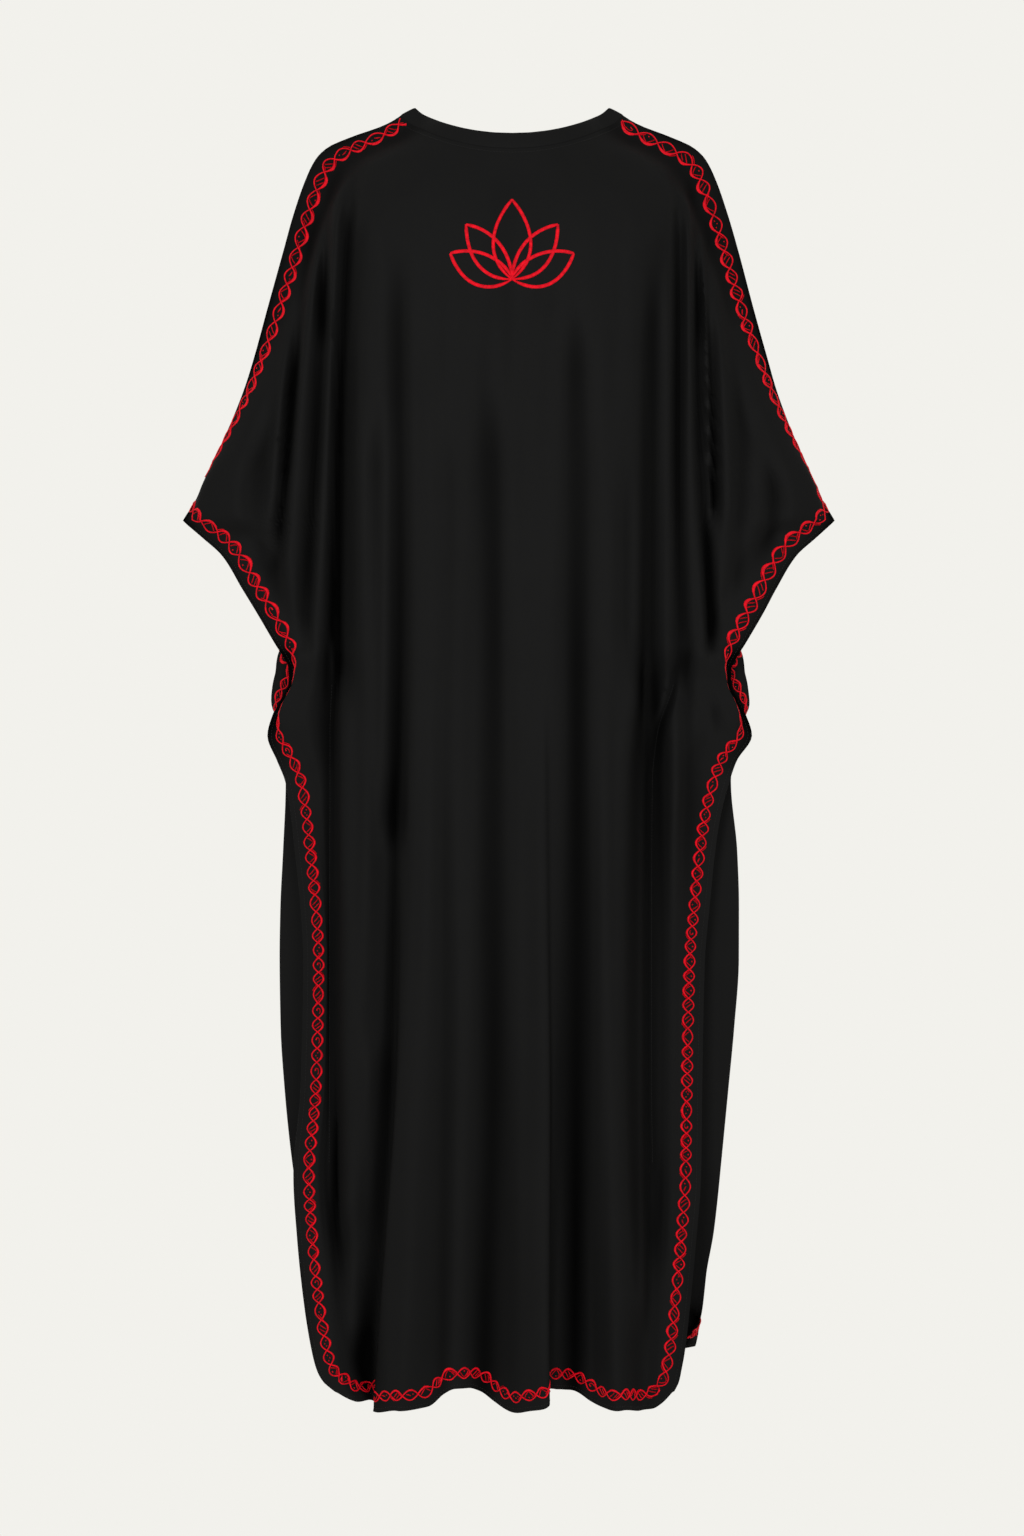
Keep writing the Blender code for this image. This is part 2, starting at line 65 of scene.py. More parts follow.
# The cloth and its seams
CLOTH_WALL = 1.0
SEAM_GAP = 0.1
LARGEST_MITRE = 2.5
SHARP_FROM = 75.0
MARGIN_WIDTH = 7.5
BORDER_WIDTH = 18.0
SEAM_DEPTH = -31.0
BACK_SEAM = SEAM_DEPTH - CLOTH_WALL - SEAM_GAP / 2
FRONT_SEAM = SEAM_DEPTH + CLOTH_WALL + SEAM_GAP / 2

# Heights below the neck points, as the cut has them
NECK_CORNER_HEIGHT = 6.0
SHOULDER_HEIGHT = 53.0
BLADE_HEIGHT = 154.0
TIP_HEIGHT = 448.0
MOUTH_END_HEIGHT = 585.0
UNDERARM_HEIGHT = 627.0
FLAP_HEIGHT = 733.0
SEAM_END_HEIGHT = 1150.0
CORNER_HEIGHT = 1320.0
HEM_CORNER_WIDTH = 30.0
HEM_CORNER_START = 110.0
HEM_LIFT = 0.15
NECK_FADE = 110.0

# How far up the neckline has risen at each share of the way from its middle to its ends
NECK_CURVE = (
    (0.0, 0.0), (0.14, 0.014), (0.28, 0.057), (0.42, 0.134), (0.56, 0.257), (0.7, 0.42), (0.76, 0.512),
    (0.81, 0.6), (0.86, 0.69), (0.93, 0.82), (1.0, 1.0),
)

# Where folds begin, end and fade
FOLD_EDGE_CLEARANCE = 20.0
FOLD_EDGE_FADE = 35.0
FOLD_SEAM_FADE = 10.0
FOLD_START = 120.0
FOLD_END = 60.0
SEAM_START = 60.0
SEAM_FREE = 90.0

# The radians that a wave texture runs through in each metre at scale 1
WAVE_TURN = 20.0

# Numbers of a mix node's colour sockets, which share their names with its other sockets
MIX_COLOURS = (6, 7)
MIX_RESULT = 2

# How fold shade is read, which the crepe paints into its colour as shade: the width of cloth that a place
# is set against, and the depth of full shade
FOLD_SHADE = "fold_shade"
SHADE_WIDTH = 16.0
SHADE_DEPTH = 7.0

# Stations of a half section: edge, margin, border, arm, side line, flank, quarter and middle
STATION_COLUMNS = (4, 9, 17, 17, 14, 24, 26)
FLANK_SHARE = 0.74
QUARTER_SHARE = 0.4
CORNER_ROWS = 16


class Side(Enum):
    """One half of a section, by the name of its column in the tables."""

    LEFT = "left"
    RIGHT = "right"


@dataclass(frozen=True)
class Span:
    """A stretch of height that is cut into equal rows of faces."""

    top: float
    bottom: float
    rows: int


@dataclass(frozen=True)
class Edge:
    """One height of a panel's outer edge.

    left and right are the edge's distances from the middle, and depth is its place along Y. From the
    edge inwards the margin and then the border turn away from the panel's plane by their angles in
    degrees. reach is the border's crossing along the section against its width square to the edge.
    """

    height: float
    left: float
    right: float
    depth: float
    margin_turn: float
    border_turn: float
    reach: float


@dataclass(frozen=True)
class Body:
    """One section of a panel inside its border: the place along Y of each of its stations."""

    height: float
    drop: float
    belly: float
    side: float
    flank: float
    quarter: float
    middle: float


@dataclass(frozen=True)
class SideLine:
    """The line where the arm meets the body, which is the side seam below the underarm."""

    height: float
    left: float
    right: float


@dataclass(frozen=True)
class Fold:
    """A hanging fold: a ridge (rise above 0) or trough (below 0) with its own two flanks.

    lean is how far its crest is pushed sideways at the bottom, which turns a flank into an overhang.
    """

    top: float
    bottom: float
    x_top: float
    x_half: float
    x_bottom: float
    left: float
    right: float
    rise_top: float
    rise_bottom: float
    lean: float = 0.0


@dataclass(frozen=True)
class HemPoint:
    """How far the hem hangs below its plain line at one distance from the middle."""

    x: float
    drop: float


@dataclass(frozen=True)
class Ripple:
    """A faint unevenness of the whole cloth: a wave across it that drifts as it goes down."""

    width: float
    drift: float
    phase: float
    rise: float


def table(kind: type, *rows: tuple[float, ...]) -> tuple:
    """Makes a table's rows from their values, in the order of the kind's fields."""
    return tuple(kind(*row) for row in rows)


ROW_SPANS = (
    Span(NECK_CORNER_HEIGHT, SHOULDER_HEIGHT, 12),
    Span(SHOULDER_HEIGHT, BLADE_HEIGHT, 18),
    Span(BLADE_HEIGHT, TIP_HEIGHT, 48),
    Span(TIP_HEIGHT, MOUTH_END_HEIGHT, 30),
    Span(MOUTH_END_HEIGHT, FLAP_HEIGHT, 30),
    Span(FLAP_HEIGHT, SEAM_END_HEIGHT, 36),
    Span(SEAM_END_HEIGHT, CORNER_HEIGHT, 26),
)

SIDE_LINE = table(
    SideLine,
    (6, 66, 66), (53, 150, 148), (113, 188, 182), (237, 194, 184), (585, 194, 184), (627, 195, 175),
    (683, 197, 157), (733, 197, 152), (869, 197.5, 151), (1066, 197.5, 151), (1150, 198, 152),
    (1298, 184, 150), (1346, 172, 145), (1388, 150, 138),
)

# The shoulder and arm line, where both panels are sewn together: height, left, right, depth, reach
ARM_LINE = (
    (6, 122, 122, 0, 1.0),
    (16, 141, 141, 0, 1.0),
    (28, 175, 172.5, 0, 1.0),
    (40, 202, 198.5, 0, 1.0),
    (53, 215, 211.8, 0, 1.0),
    (78, 227, 224, 0, 1.0),
    (113, 239, 236, 0, 1.0),
    (154, 250.9, 248.4, 4, 1.05),
    (213, 267.9, 264.6, 9, 1.05),
    (270, 284, 281, 13, 1.05),
    (302, 294.5, 290.5, 16, 1.05),
    (349, 313.5, 308, 18, 1.05),
    (403, 337, 330, 18, 1.05),
    (430, 350.5, 344, 11, 1.1),
    (446.5, 359.4, 352.4, 1, 1.2),
    (448, 360, 353, 0, 1.2),
)


def arm_edge(*turns: tuple[float, float]) -> tuple[Edge, ...]:
    """One panel's edge along the shoulders and arms.

    Args:
        turns: How far the margin and the border turn at each row of the arm line, in degrees.

    Returns:
        The edge's rows, from the neck to the sleeve tip.
    """
    return tuple(Edge(height, left, right, depth, *turn, reach)
                 for (height, left, right, depth, reach), turn in zip(ARM_LINE, turns))


BACK_EDGE = arm_edge(
    (86, 38), (70, 34), (46, 30), (25, 25), (20, 20), (20, 20), (20, 20), (25, 25), (40, 30), (60, 45),
    (70, 52), (84, 60), (92, 82), (75, 65), (42, 42), (40, 40),
) + table(
    Edge,
    (450, 358, 351, -1, 38, 38, 1.2),
    (468, 337, 331, -12, 22, 20, 1.4),
    (488, 315, 309, -20, 20, 18, 1.4),
    (525, 292, 286, -30, 20, 18, 1.2),
    (551, 276, 272, -33, 20, 18, 1.15),
    (585, 256, 252, -34, 25, 25, 1.15),
    (598, 248, 244, -30, 30, 55, 1.1),
    (612, 242, 238, -25, 35, 80, 1.0),
    (627, 243, 238, -22, 30, 92, 1.0),
    (645, 251, 245, -22, 30, 95, 1.0),
    (661, 260, 254, -24, 30, 80, 1.0),
    (683, 265, 260, -30, 25, 40, 1.0),
    (711, 254, 243, -35, 15, 15, 1.0),
    (733, 245, 235, -39, 0, 0, 1.0),
    (764, 239, 226, -44, -12, -12, 1.0),
    (809, 234, 219, -44, -12, -12, 1.0),
    (869, 228, 213, -44, -12, -12, 1.0),
    (926, 225, 208, -44, -12, -12, 1.0),
    (1066, 228, 205, -44, -12, -12, 1.0),
    (1158, 236, 204, -42, -5, -5, 1.0),
    (1226, 232, 199, -42, 5, 5, 1.0),
    (1298, 224, 192, -46, 8, 8, 1.0),
    (1346, 215.4, 186, -52, 8, 8, 1.0),
    (1366, 209.8, 182.2, -54, 6, 6, 1.05),
    (1378, 203, 179.5, -55, 5, 5, 1.1),
    (1388, 191, 174.5, -56, 5, 5, 1.15),
)

FRONT_EDGE = arm_edge(
    (45, 40), (46, 40), (48, 40), (50, 42), (52, 42), (52, 42), (52, 42), (48, 40), (40, 34), (32, 28),
    (26, 24), (20, 20), (16, 18), (22, 24), (38, 38), (40, 40),
) + table(
    Edge,
    (450, 358, 351, 1, 38, 38, 1.2),
    (468, 336, 330, 12, 20, 18, 1.4),
    (488, 314, 308, 20, 20, 15, 1.4),
    (525, 290, 284, 24, 30, 25, 1.2),
    (551, 268, 263, 16, 50, 45, 1.15),
    (570, 252, 248, 6, 90, 85, 1.1),
    (585, 240, 236, -4, 125, 120, 1.15),
    (598, 230, 226, -12, 145, 140, 1.4),
    (610, 227, 223, -15, 150, 145, 1.5),
    (622, 231, 227, -16, 150, 143, 1.45),
    (638, 240, 236, -16, 143, 133, 1.3),
    (652, 250, 247, -15, 125, 115, 1.1),
    (664, 255, 252, -15, 100, 92, 1.0),
    (683, 258, 255, -18, 60, 52, 1.0),
    (699, 256, 249, -20, 30, 28, 1.0),
    (711, 253, 241, -20, 10, 10, 1.0),
    (733, 246, 238, -18, 0, 0, 1.0),
    (809, 249, 245, -16, -5, -5, 1.0),
    (869, 252, 247, -14, -8, -8, 1.0),
    (926, 253, 247, -12, -10, -10, 1.0),
    (1002, 252, 242, -10, -10, -10, 1.0),
    (1067, 248, 236, -8, -10, -10, 1.0),
    (1148, 240, 228.5, -4, -10, -10, 1.0),
    (1227, 228, 221.5, 12, -5, -5, 1.0),
    (1277, 221, 214, 24, 0, 0, 1.0),
    (1300, 217, 212.5, 32, 10, 10, 1.0),
    (1322, 211, 210, 34, 60, 60, 1.0),
    (1334, 205, 206.5, 32, 105, 95, 1.1),
    (1342, 199, 200, 30, 115, 105, 1.1),
    (1362, 182, 181, 26, 150, 140, 1.1),
)

BACK_BODY = table(
    Body,
    (6, 51, 6, -61, -69, -73, -74),
    (53, 75, 9, -66, -88, -96, -94),
    (113, 85, 8, -66, -98, -108, -106),
    (213, 60, 8, -62, -98, -112, -111),
    (303, 30, 11, -58, -95, -109, -109),
    (403, 8, 14, -55, -92, -105, -105),
    (450, 0, 13, -54, -90, -103, -103),
    (585, 0, 6, -45, -84, -99, -99),
    (627, 0, 8, BACK_SEAM, -82, -97, -97),
    (683, 0, 6, BACK_SEAM, -81, -96, -96),
    (733, 0, 2, BACK_SEAM, -80, -95, -95),
    (900, 0, 0, BACK_SEAM, -79, -92, -92),
    (1150, 0, 0, BACK_SEAM, -76, -86, -86),
    (1298, 0, 0, -52, -70, -78, -78),
    (1388, 0, 0, -60, -68, -76, -76),
)

FRONT_BODY = table(
    Body,
    (6, 103, 6, 60, 73, 81, 83),
    (53, 115, 6, 58, 86, 102, 101),
    (113, 105, 6, 54, 92, 114, 110),
    (213, 70, 9, 47, 94, 124, 115),
    (303, 35, 11, 42, 90, 122, 115),
    (403, 8, 10, 35, 84, 114, 109),
    (450, 0, 11, 31, 80, 110, 106),
    (585, 0, 8, 6, 70, 102, 102),
    (627, 0, 8, FRONT_SEAM, 66, 100, 101),
    (683, 0, 5, FRONT_SEAM, 64, 98, 100),
    (733, 0, 1, FRONT_SEAM, 63, 97, 99),
    (900, 0, 0, FRONT_SEAM, 60, 94, 96),
    (1150, 0, 0, FRONT_SEAM, 60, 90, 92),
    (1298, 0, 0, 22, 66, 88, 88),
    (1362, 0, 0, 50, 72, 86, 86),
)

# The large folds of the solids first, and then the narrow ones that only the render has
BACK_FOLDS = table(
    Fold,
    (10, 660, -199, -211, -229, 22, 16, -4, -6), (10, 660, -171, -184, -190, 20, 24, -8, -8),
    (120, 1400, -126, -122, -158, 34, 22, -5, -18), (300, 1400, -86, -88, -108, 34, 40, 3, 26, -12),
    (280, 1400, -22, -20, -28, 36, 30, -4, -17), (450, 1400, 24, 26, 15, 50, 30, 3, 26, 12),
    (140, 1400, 69, 70, 67, 28, 28, -5, -17), (300, 1400, 106, 106, 114, 28, 32, 3, 28),
    (120, 680, 150, 151, 152, 24, 22, -7, -10), (300, 680, 214, 222, 227, 22, 20, -5, -8),
    (-20, 260, -203, -203, -204, 13, 11, -16, -10), (0, 650, -199, -210, -228, 14, 12, -10, -5),
    (0, 660, -170, -185, -192, 14, 12, -16, -8), (30, 520, -224, -237, -255, 14, 12, -28, -16),
    (80, 820, -124, -121, -126, 20, 18, -6, -21), (280, 1050, -147, -146, -152, 16, 16, -9, -8),
    (700, 1400, -126, -132, -155, 28, 9, -13, -10), (560, 1400, -114, -116, -137, 7, 26, 3, 10, -12),
    (260, 1400, -22, -20, -28, 24, 16, -4, -2), (300, 1400, -68, -68, -62, 20, 20, -3, -2),
    (700, 1400, -67, -68, -72, 8, 12, -1, -1.5), (140, 1400, 69, 70, 66, 20, 18, -4, -6),
    (620, 1400, 33, 34, 26, 26, 6, 3, 10, 6), (360, 620, 118, 120, 119, 20, 14, -4, -4),
    (90, 680, 152, 151, 151, 17, 17, -7, -18), (0, 690, 179, 179, 187, 12, 13, -17, 0),
    (-20, 260, 201, 202, 204, 12, 10, -13, -8), (0, 700, 199, 204, 225, 12, 12, -15, -8),
    (60, 480, 209, 215, 219, 5, 14, -15, -13), (430, 700, 212, 215, 226, 8, 26, -6, -8),
    (110, 600, 243, 252, 240, 24, 28, -19, -10), (200, 600, 262, 284, 262, 24, 26, -16, -8),
    (110, 640, -258, -270, -250, 32, 24, -16, -12), (570, 1240, -183, -184, -182, 9, 26, 20, 14),
    (570, 1330, 137, 139, 140, 32, 9, 17, 17), (570, 1300, 170, 180, 178, 20, 20, 15, 14),
    (1000, 1400, -197, -193, -180, 16, 22, -10, -12), (1120, 1400, 153, 157, 158, 18, 24, -8, -9),
)

FRONT_FOLDS = table(
    Fold,
    (120, 620, -206, -244, -230, 26, 24, -3, -3), (120, 620, 200, 236, 222, 24, 26, -3, -3),
    (330, 1380, -140, -132, -150, 30, 26, -5, -22), (330, 1380, -92, -96, -108, 30, 32, 4, 28, -8),
    (330, 1380, -44, -48, -62, 28, 32, -4, -28), (400, 1380, -2, 0, -8, 30, 34, 4, 28, 8),
    (360, 1380, 44, 46, 48, 28, 30, -4, -28), (330, 1380, 90, 92, 98, 28, 30, 4, 26, -8),
    (330, 1380, 136, 134, 142, 26, 26, -5, -20), (110, 560, -178, -180, -182, 10, 9, 2.5, 2),
    (110, 560, 174, 176, 178, 9, 10, 2.5, 2), (190, 900, -70, -68, -74, 22, 20, 1.5, 3),
    (230, 1000, 26, 24, 22, 20, 22, 1.5, 2.5), (260, 1380, 112, 116, 120, 10, 18, 1, 4),
    (300, 1380, -120, -118, -128, 16, 8, 1, 4),
)

BACK_HEM = table(
    HemPoint,
    (-186, 0), (-169, 3), (-160, 4), (-147, 6), (-142, 8), (-134, 8), (-111, 1), (-85, 1), (-73, -8),
    (-60, -14), (-47, -13), (-34, -6), (-21, 3), (-9, 6), (10, -2), (22, -7), (30, -10), (36, -16),
    (50, -12), (60, -7), (75, -2), (93, 3), (118, 1), (138, 11), (150, 10.8), (161, 7), (172, 0),
)

FRONT_HEM = table(
    HemPoint,
    (-200, 0), (150, 0), (180, -2), (200, -2.5),
)

RIPPLES = table(
    Ripple,
    (61, 0.05, 0.4, 0.55), (37, -0.07, 2.1, 0.35), (23, 0.04, 4.4, 0.2),
)

# The twisted border
BORDER_CENTRE = 16.5
BORDER_HALF = 9.0
STRIP_EXTENSION = 16
EDGE_CLEARANCE = 0.3
EDGE_SPACING = 1.5
WALK_STEP = 0.75
LINE_BLUR = 2.0
THREAD_RISE = 0.75
THREAD_SINK = 0.25
RUNNING_RISE = 0.8 * THREAD_RISE

# Beyond these places the front's turned hem corner is plain
PLAIN_CORNER_X = 165.0
PLAIN_CORNER_HEIGHT = 1349.0

# The flower's base, and the ground below the neck that is searched for its places
FLOWER_BASE = -202.0
GROUND_HALF = 100.0
GROUND_BOTTOM = -260.0
GROUND_TOP = -70.0
FIND_ROUNDS = 6


def smooth(at: np.ndarray | float, knots: list, values: list) -> np.ndarray:
    """Reads a smooth curve through the values at the knots, which never swings past them.

    Args:
        at: The places to read.
        knots: Rising places of the known values.
        values: The values there.

    Returns:
        The curve's values at the places.
    """
    knots = np.asarray(knots, float)
    values = np.asarray(values, float)
    step = np.diff(knots)
    slope = np.diff(values) / step
    before, after = slope[:-1], slope[1:]
    tangent = np.empty_like(values)
    tangent[0], tangent[-1] = slope[0], slope[-1]
    same_way = before * after > 0
    mean = np.where(same_way, before + after, 1.0)
    tangent[1:-1] = np.where(same_way, 2 * before * after / mean, 0.0)
    at = np.clip(at, knots[0], knots[-1])
    i = np.clip(np.searchsorted(knots, at, side="right") - 1, 0, len(step) - 1)
    t = (at - knots[i]) / step[i]
    return (
        values[i] * (1 + 2 * t) * (1 - t) ** 2
        + tangent[i] * step[i] * t * (1 - t) ** 2
        + values[i + 1] * t * t * (3 - 2 * t)
        + tangent[i + 1] * step[i] * t * t * (t - 1)
    )


def neck_curve(share: np.ndarray) -> np.ndarray:
    """Reads the neckline's curve.

    Args:
        share: Shares of the way from the neckline's middle to its ends.

    Returns:
        How far up the neckline has risen there, as a share of its drop.
    """
    return smooth(share, [row[0] for row in NECK_CURVE], [row[1] for row in NECK_CURVE])


def column(rows: tuple, name: str, height: float) -> float:
    """Reads one named column of a table at a height."""
    return float(smooth(height, [row.height for row in rows], [getattr(row, name) for row in rows]))


def ease(share: np.ndarray | float) -> np.ndarray:
    """Rises smoothly from 0 to 1 while the share does."""
    share = np.clip(share, 0.0, 1.0)
    return share * share * (3 - 2 * share)


def unit(vectors: np.ndarray) -> np.ndarray:
    """The same directions, each with a length of 1."""
    return vectors / np.maximum(np.linalg.norm(vectors, axis=-1, keepdims=True), TINY)


def dot(a: np.ndarray, b: np.ndarray) -> np.ndarray:
    """Dot products along the last axis."""
    return np.sum(a * b, axis=-1)


def directions(points: np.ndarray) -> np.ndarray:
    """Direction of a row of points at each of them, halfway between its two neighbours' ways."""
    steps = unit(np.diff(points, axis=0))
    return unit(np.concatenate([steps[:1], steps[:-1] + steps[1:], steps[-1:]]))


def blur(values: np.ndarray, sigma: float) -> np.ndarray:
    """Smooths rows of values along the first axis.

    Args:
        values: One row for each place.
        sigma: The width of the smoothing, in rows.

    Returns:
        The smoothed rows, with the ends held.
    """
    reach = int(math.ceil(3 * sigma))
    weights = np.exp(-0.5 * (np.arange(-reach, reach + 1) / sigma) ** 2)
    weights /= weights.sum()
    padded = np.concatenate([np.repeat(values[:1], reach, 0), values, np.repeat(values[-1:], reach, 0)])
    return np.stack([np.convolve(padded[:, k], weights, "valid") for k in range(values.shape[1])], axis=1)


def along(points: np.ndarray, axis: int = 0) -> np.ndarray:
    """Distance along each line of points to each of them, where the lines run along an axis."""
    steps = np.linalg.norm(np.diff(points, axis=axis), axis=-1)
    return np.insert(np.cumsum(steps, axis=axis), 0, 0.0, axis=axis)


def linear(code: str) -> tuple[float, float, float, float]:
    """Turns an sRGB hex colour into the linear values that a shader takes.

    Args:
        code: The colour as #rrggbb.

    Returns:
        Red, green and blue, and an alpha of 1.
    """
    parts = [int(code[i:i + 2], 16) / 255 for i in (1, 3, 5)]
    values = [part / 12.92 if part <= 0.04045 else ((part + 0.055) / 1.055) ** 2.4 for part in parts]
    return values[0], values[1], values[2], 1.0


@dataclass(frozen=True)
class PanelCut:
    """The shape of one panel as it hangs, and which way its outside faces along Y."""

    label: str
    facing: int
    edge: tuple[Edge, ...]
    body: tuple[Body, ...]
    folds: tuple[Fold, ...]
    hem_height: float
    hem: tuple[HemPoint, ...]

    def heights(self) -> np.ndarray:
        """Heights of the rows of points at the panel's edges, from the neck down.

        Returns:
            Distances below the neck points, the smallest first.
        """
        spans = ROW_SPANS + (Span(CORNER_HEIGHT, self.edge[-1].height, CORNER_ROWS),)
        heights = [spans[0].top]
        for span in spans:
            heights.extend(np.linspace(span.top, span.bottom, span.rows + 1)[1:])
        return np.array(heights)

    def row_at(self, height: float) -> int:
        """The row of points that is nearest to a height."""
        return int(np.abs(self.heights() - height).argmin())

    def half_section(self, height: float, side: Side) -> tuple[list[float], list[float]]:
        """Stations of one half of a section from the edge to the middle.

        Args:
            height: The section's height below the neck points.
            side: Which half.

        Returns:
            The stations' distances out, and their depths.
        """
        edge = column(self.edge, side.value, height)
        depth = column(self.edge, "depth", height)
        reach = column(self.edge, "reach", height)
        out, deep = [edge], [depth]
        for width, turn in ((MARGIN_WIDTH, "margin_turn"), (BORDER_WIDTH, "border_turn")):
            angle = math.radians(column(self.edge, turn, height))
            out.append(out[-1] - width * reach * math.cos(angle))
            deep.append(deep[-1] + self.facing * width * reach * math.sin(angle))
        side_line = column(SIDE_LINE, side.value, height)
        side_depth = column(self.body, "side", height)
        belly = self.facing * column(self.body, "belly", height)
        out += [(out[-1] + side_line) / 2, side_line, side_line * FLANK_SHARE, side_line * QUARTER_SHARE]
        deep += [(deep[-1] + side_depth) / 2 + belly, side_depth]
        deep += [column(self.body, name, height) for name in ("flank", "quarter")]
        return out, deep

    def section(self, height: float) -> tuple[np.ndarray, np.ndarray]:
        """Points of one whole section from the left edge to the right one, without folds.

        Args:
            height: The section's height below the neck points.

        Returns:
            The points' places along X and along Y.
        """
        left_out, left_deep = self.half_section(height, Side.LEFT)
        right_out, right_deep = self.half_section(height, Side.RIGHT)
        x = [-value for value in left_out] + [0.0] + right_out[::-1]
        y = left_deep + [column(self.body, "middle", height)] + right_deep[::-1]
        stations = np.insert(np.cumsum(np.hypot(np.diff(x), np.diff(y))), 0, 0.0)
        places = [stations[0]]
        for i, count in enumerate(STATION_COLUMNS + STATION_COLUMNS[::-1]):
            places.extend(np.linspace(stations[i], stations[i + 1], count + 1)[1:])
        return smooth(places, stations, x), smooth(places, stations, y)

    def fold_offsets(self, x: np.ndarray, height: float) -> tuple[np.ndarray, np.ndarray]:
        """How far the folds lift each point of a section outwards, and push it sideways.

        Args:
            x: The points' distances from the middle.
            height: The section's height below the neck points.

        Returns:
            The lifts and the pushes, in millimetres.
        """
        rise, push = np.zeros_like(x), np.zeros_like(x)
        for fold in self.folds:
            share = np.clip((height - fold.top) / (fold.bottom - fold.top), 0.0, 1.0)
            middle = smooth(share, (0.0, 0.5, 1.0), (fold.x_top, fold.x_half, fold.x_bottom))
            away = x - middle
            flank = np.where(away < 0, fold.left, fold.right)
            shape = (1 + np.cos(math.pi * np.clip(np.abs(away) / flank, 0.0, 1.0))) / 2
            growth = fold.rise_top + (fold.rise_bottom - fold.rise_top) * share ** 2
            start = ease((height - fold.top) / FOLD_START)
            end = 1 - ease((height - fold.bottom + FOLD_END) / FOLD_END)
            amount = start * np.where(fold.bottom > self.edge[-1].height, 1.0, end) * shape
            rise += growth * amount
            push += fold.lean * share ** 2 * amount
        return rise, push

    def ripple_rise(self, x: np.ndarray, height: float) -> np.ndarray:
        """The faint unevenness of the cloth along a section.

        Args:
            x: The points' distances from the middle.
            height: The section's height below the neck points.

        Returns:
            The lifts, in millimetres.
        """
        rise = np.zeros_like(x)
        for ripple in RIPPLES:
            angle = 2 * math.pi * (x + ripple.drift * height) / ripple.width + ripple.phase
            rise += ripple.rise * np.sin(angle + self.facing)
        return rise * ease((height - NECK_CORNER_HEIGHT) / FOLD_START)

    def fold_room(self, x: np.ndarray, height: float) -> np.ndarray:
        """Where folds may lift the cloth: not at the outer edges, nor at the side seams.

        Args:
            x: The points' distances from the middle.
            height: The section's height below the neck points.

        Returns:
            Shares from 0, where no fold may be, to 1.
        """
        left = column(self.edge, "left", height)
        right = column(self.edge, "right", height)
        clear = np.minimum(x + left, right - x) - FOLD_EDGE_CLEARANCE
        share = ease(clear / FOLD_EDGE_FADE)
        sewn = ease((height - MOUTH_END_HEIGHT + SEAM_START / 2) / SEAM_START)
        sewn *= 1 - ease((height - SEAM_END_HEIGHT) / SEAM_FREE)
        for place in (-column(SIDE_LINE, "left", height), column(SIDE_LINE, "right", height)):
            share = share * (1 - sewn * (1 - ease(np.abs(x - place) / FOLD_SEAM_FADE)))
        return share

    def outer(self) -> np.ndarray:
        """The panel's outer face as a grid of points, a row for each section.

        Returns:
            Rows and columns of points, in millimetres.
        """
        rows = []
        corner_height = self.edge[-1].height
        for height in self.heights():
            x, y = self.section(height)
            room = self.fold_room(x, height)
            rise, push = self.fold_offsets(x, height)
            rise = rise * room
            left = column(self.edge, "left", height)
            right = column(self.edge, "right", height)
            share_out = np.clip(np.where(x < 0, -x / left, x / right), 0.0, 1.0)
            neck = 1 - float(ease((height - NECK_CORNER_HEIGHT) / NECK_FADE))
            rise_out = share_out ** 2 * (1 - neck) + neck * neck_curve(share_out)
            z = -height - column(self.body, "drop", height) * (1 - rise_out)
            near_hem = ease((height - corner_height + HEM_CORNER_START) / HEM_CORNER_START)
            from_edge = np.clip(np.minimum(x + left, right - x) / HEM_CORNER_WIDTH, 0.0, 1.0)
            fall = (self.hem_height - corner_height) * (1 - (1 - from_edge) ** 2)
            fall += smooth(x, [point.x for point in self.hem], [point.drop for point in self.hem])
            z = z - near_hem * (fall + HEM_LIFT * rise)
            y = y + self.facing * (rise + self.ripple_rise(x, height) * room)
            rows.append(np.stack([x + push * room, y, z], axis=1))
        return np.array(rows)


BACK = PanelCut("back", -1, BACK_EDGE, BACK_BODY, BACK_FOLDS, 1396.0, BACK_HEM)
FRONT = PanelCut("front", 1, FRONT_EDGE, FRONT_BODY, FRONT_FOLDS, 1375.0, FRONT_HEM)


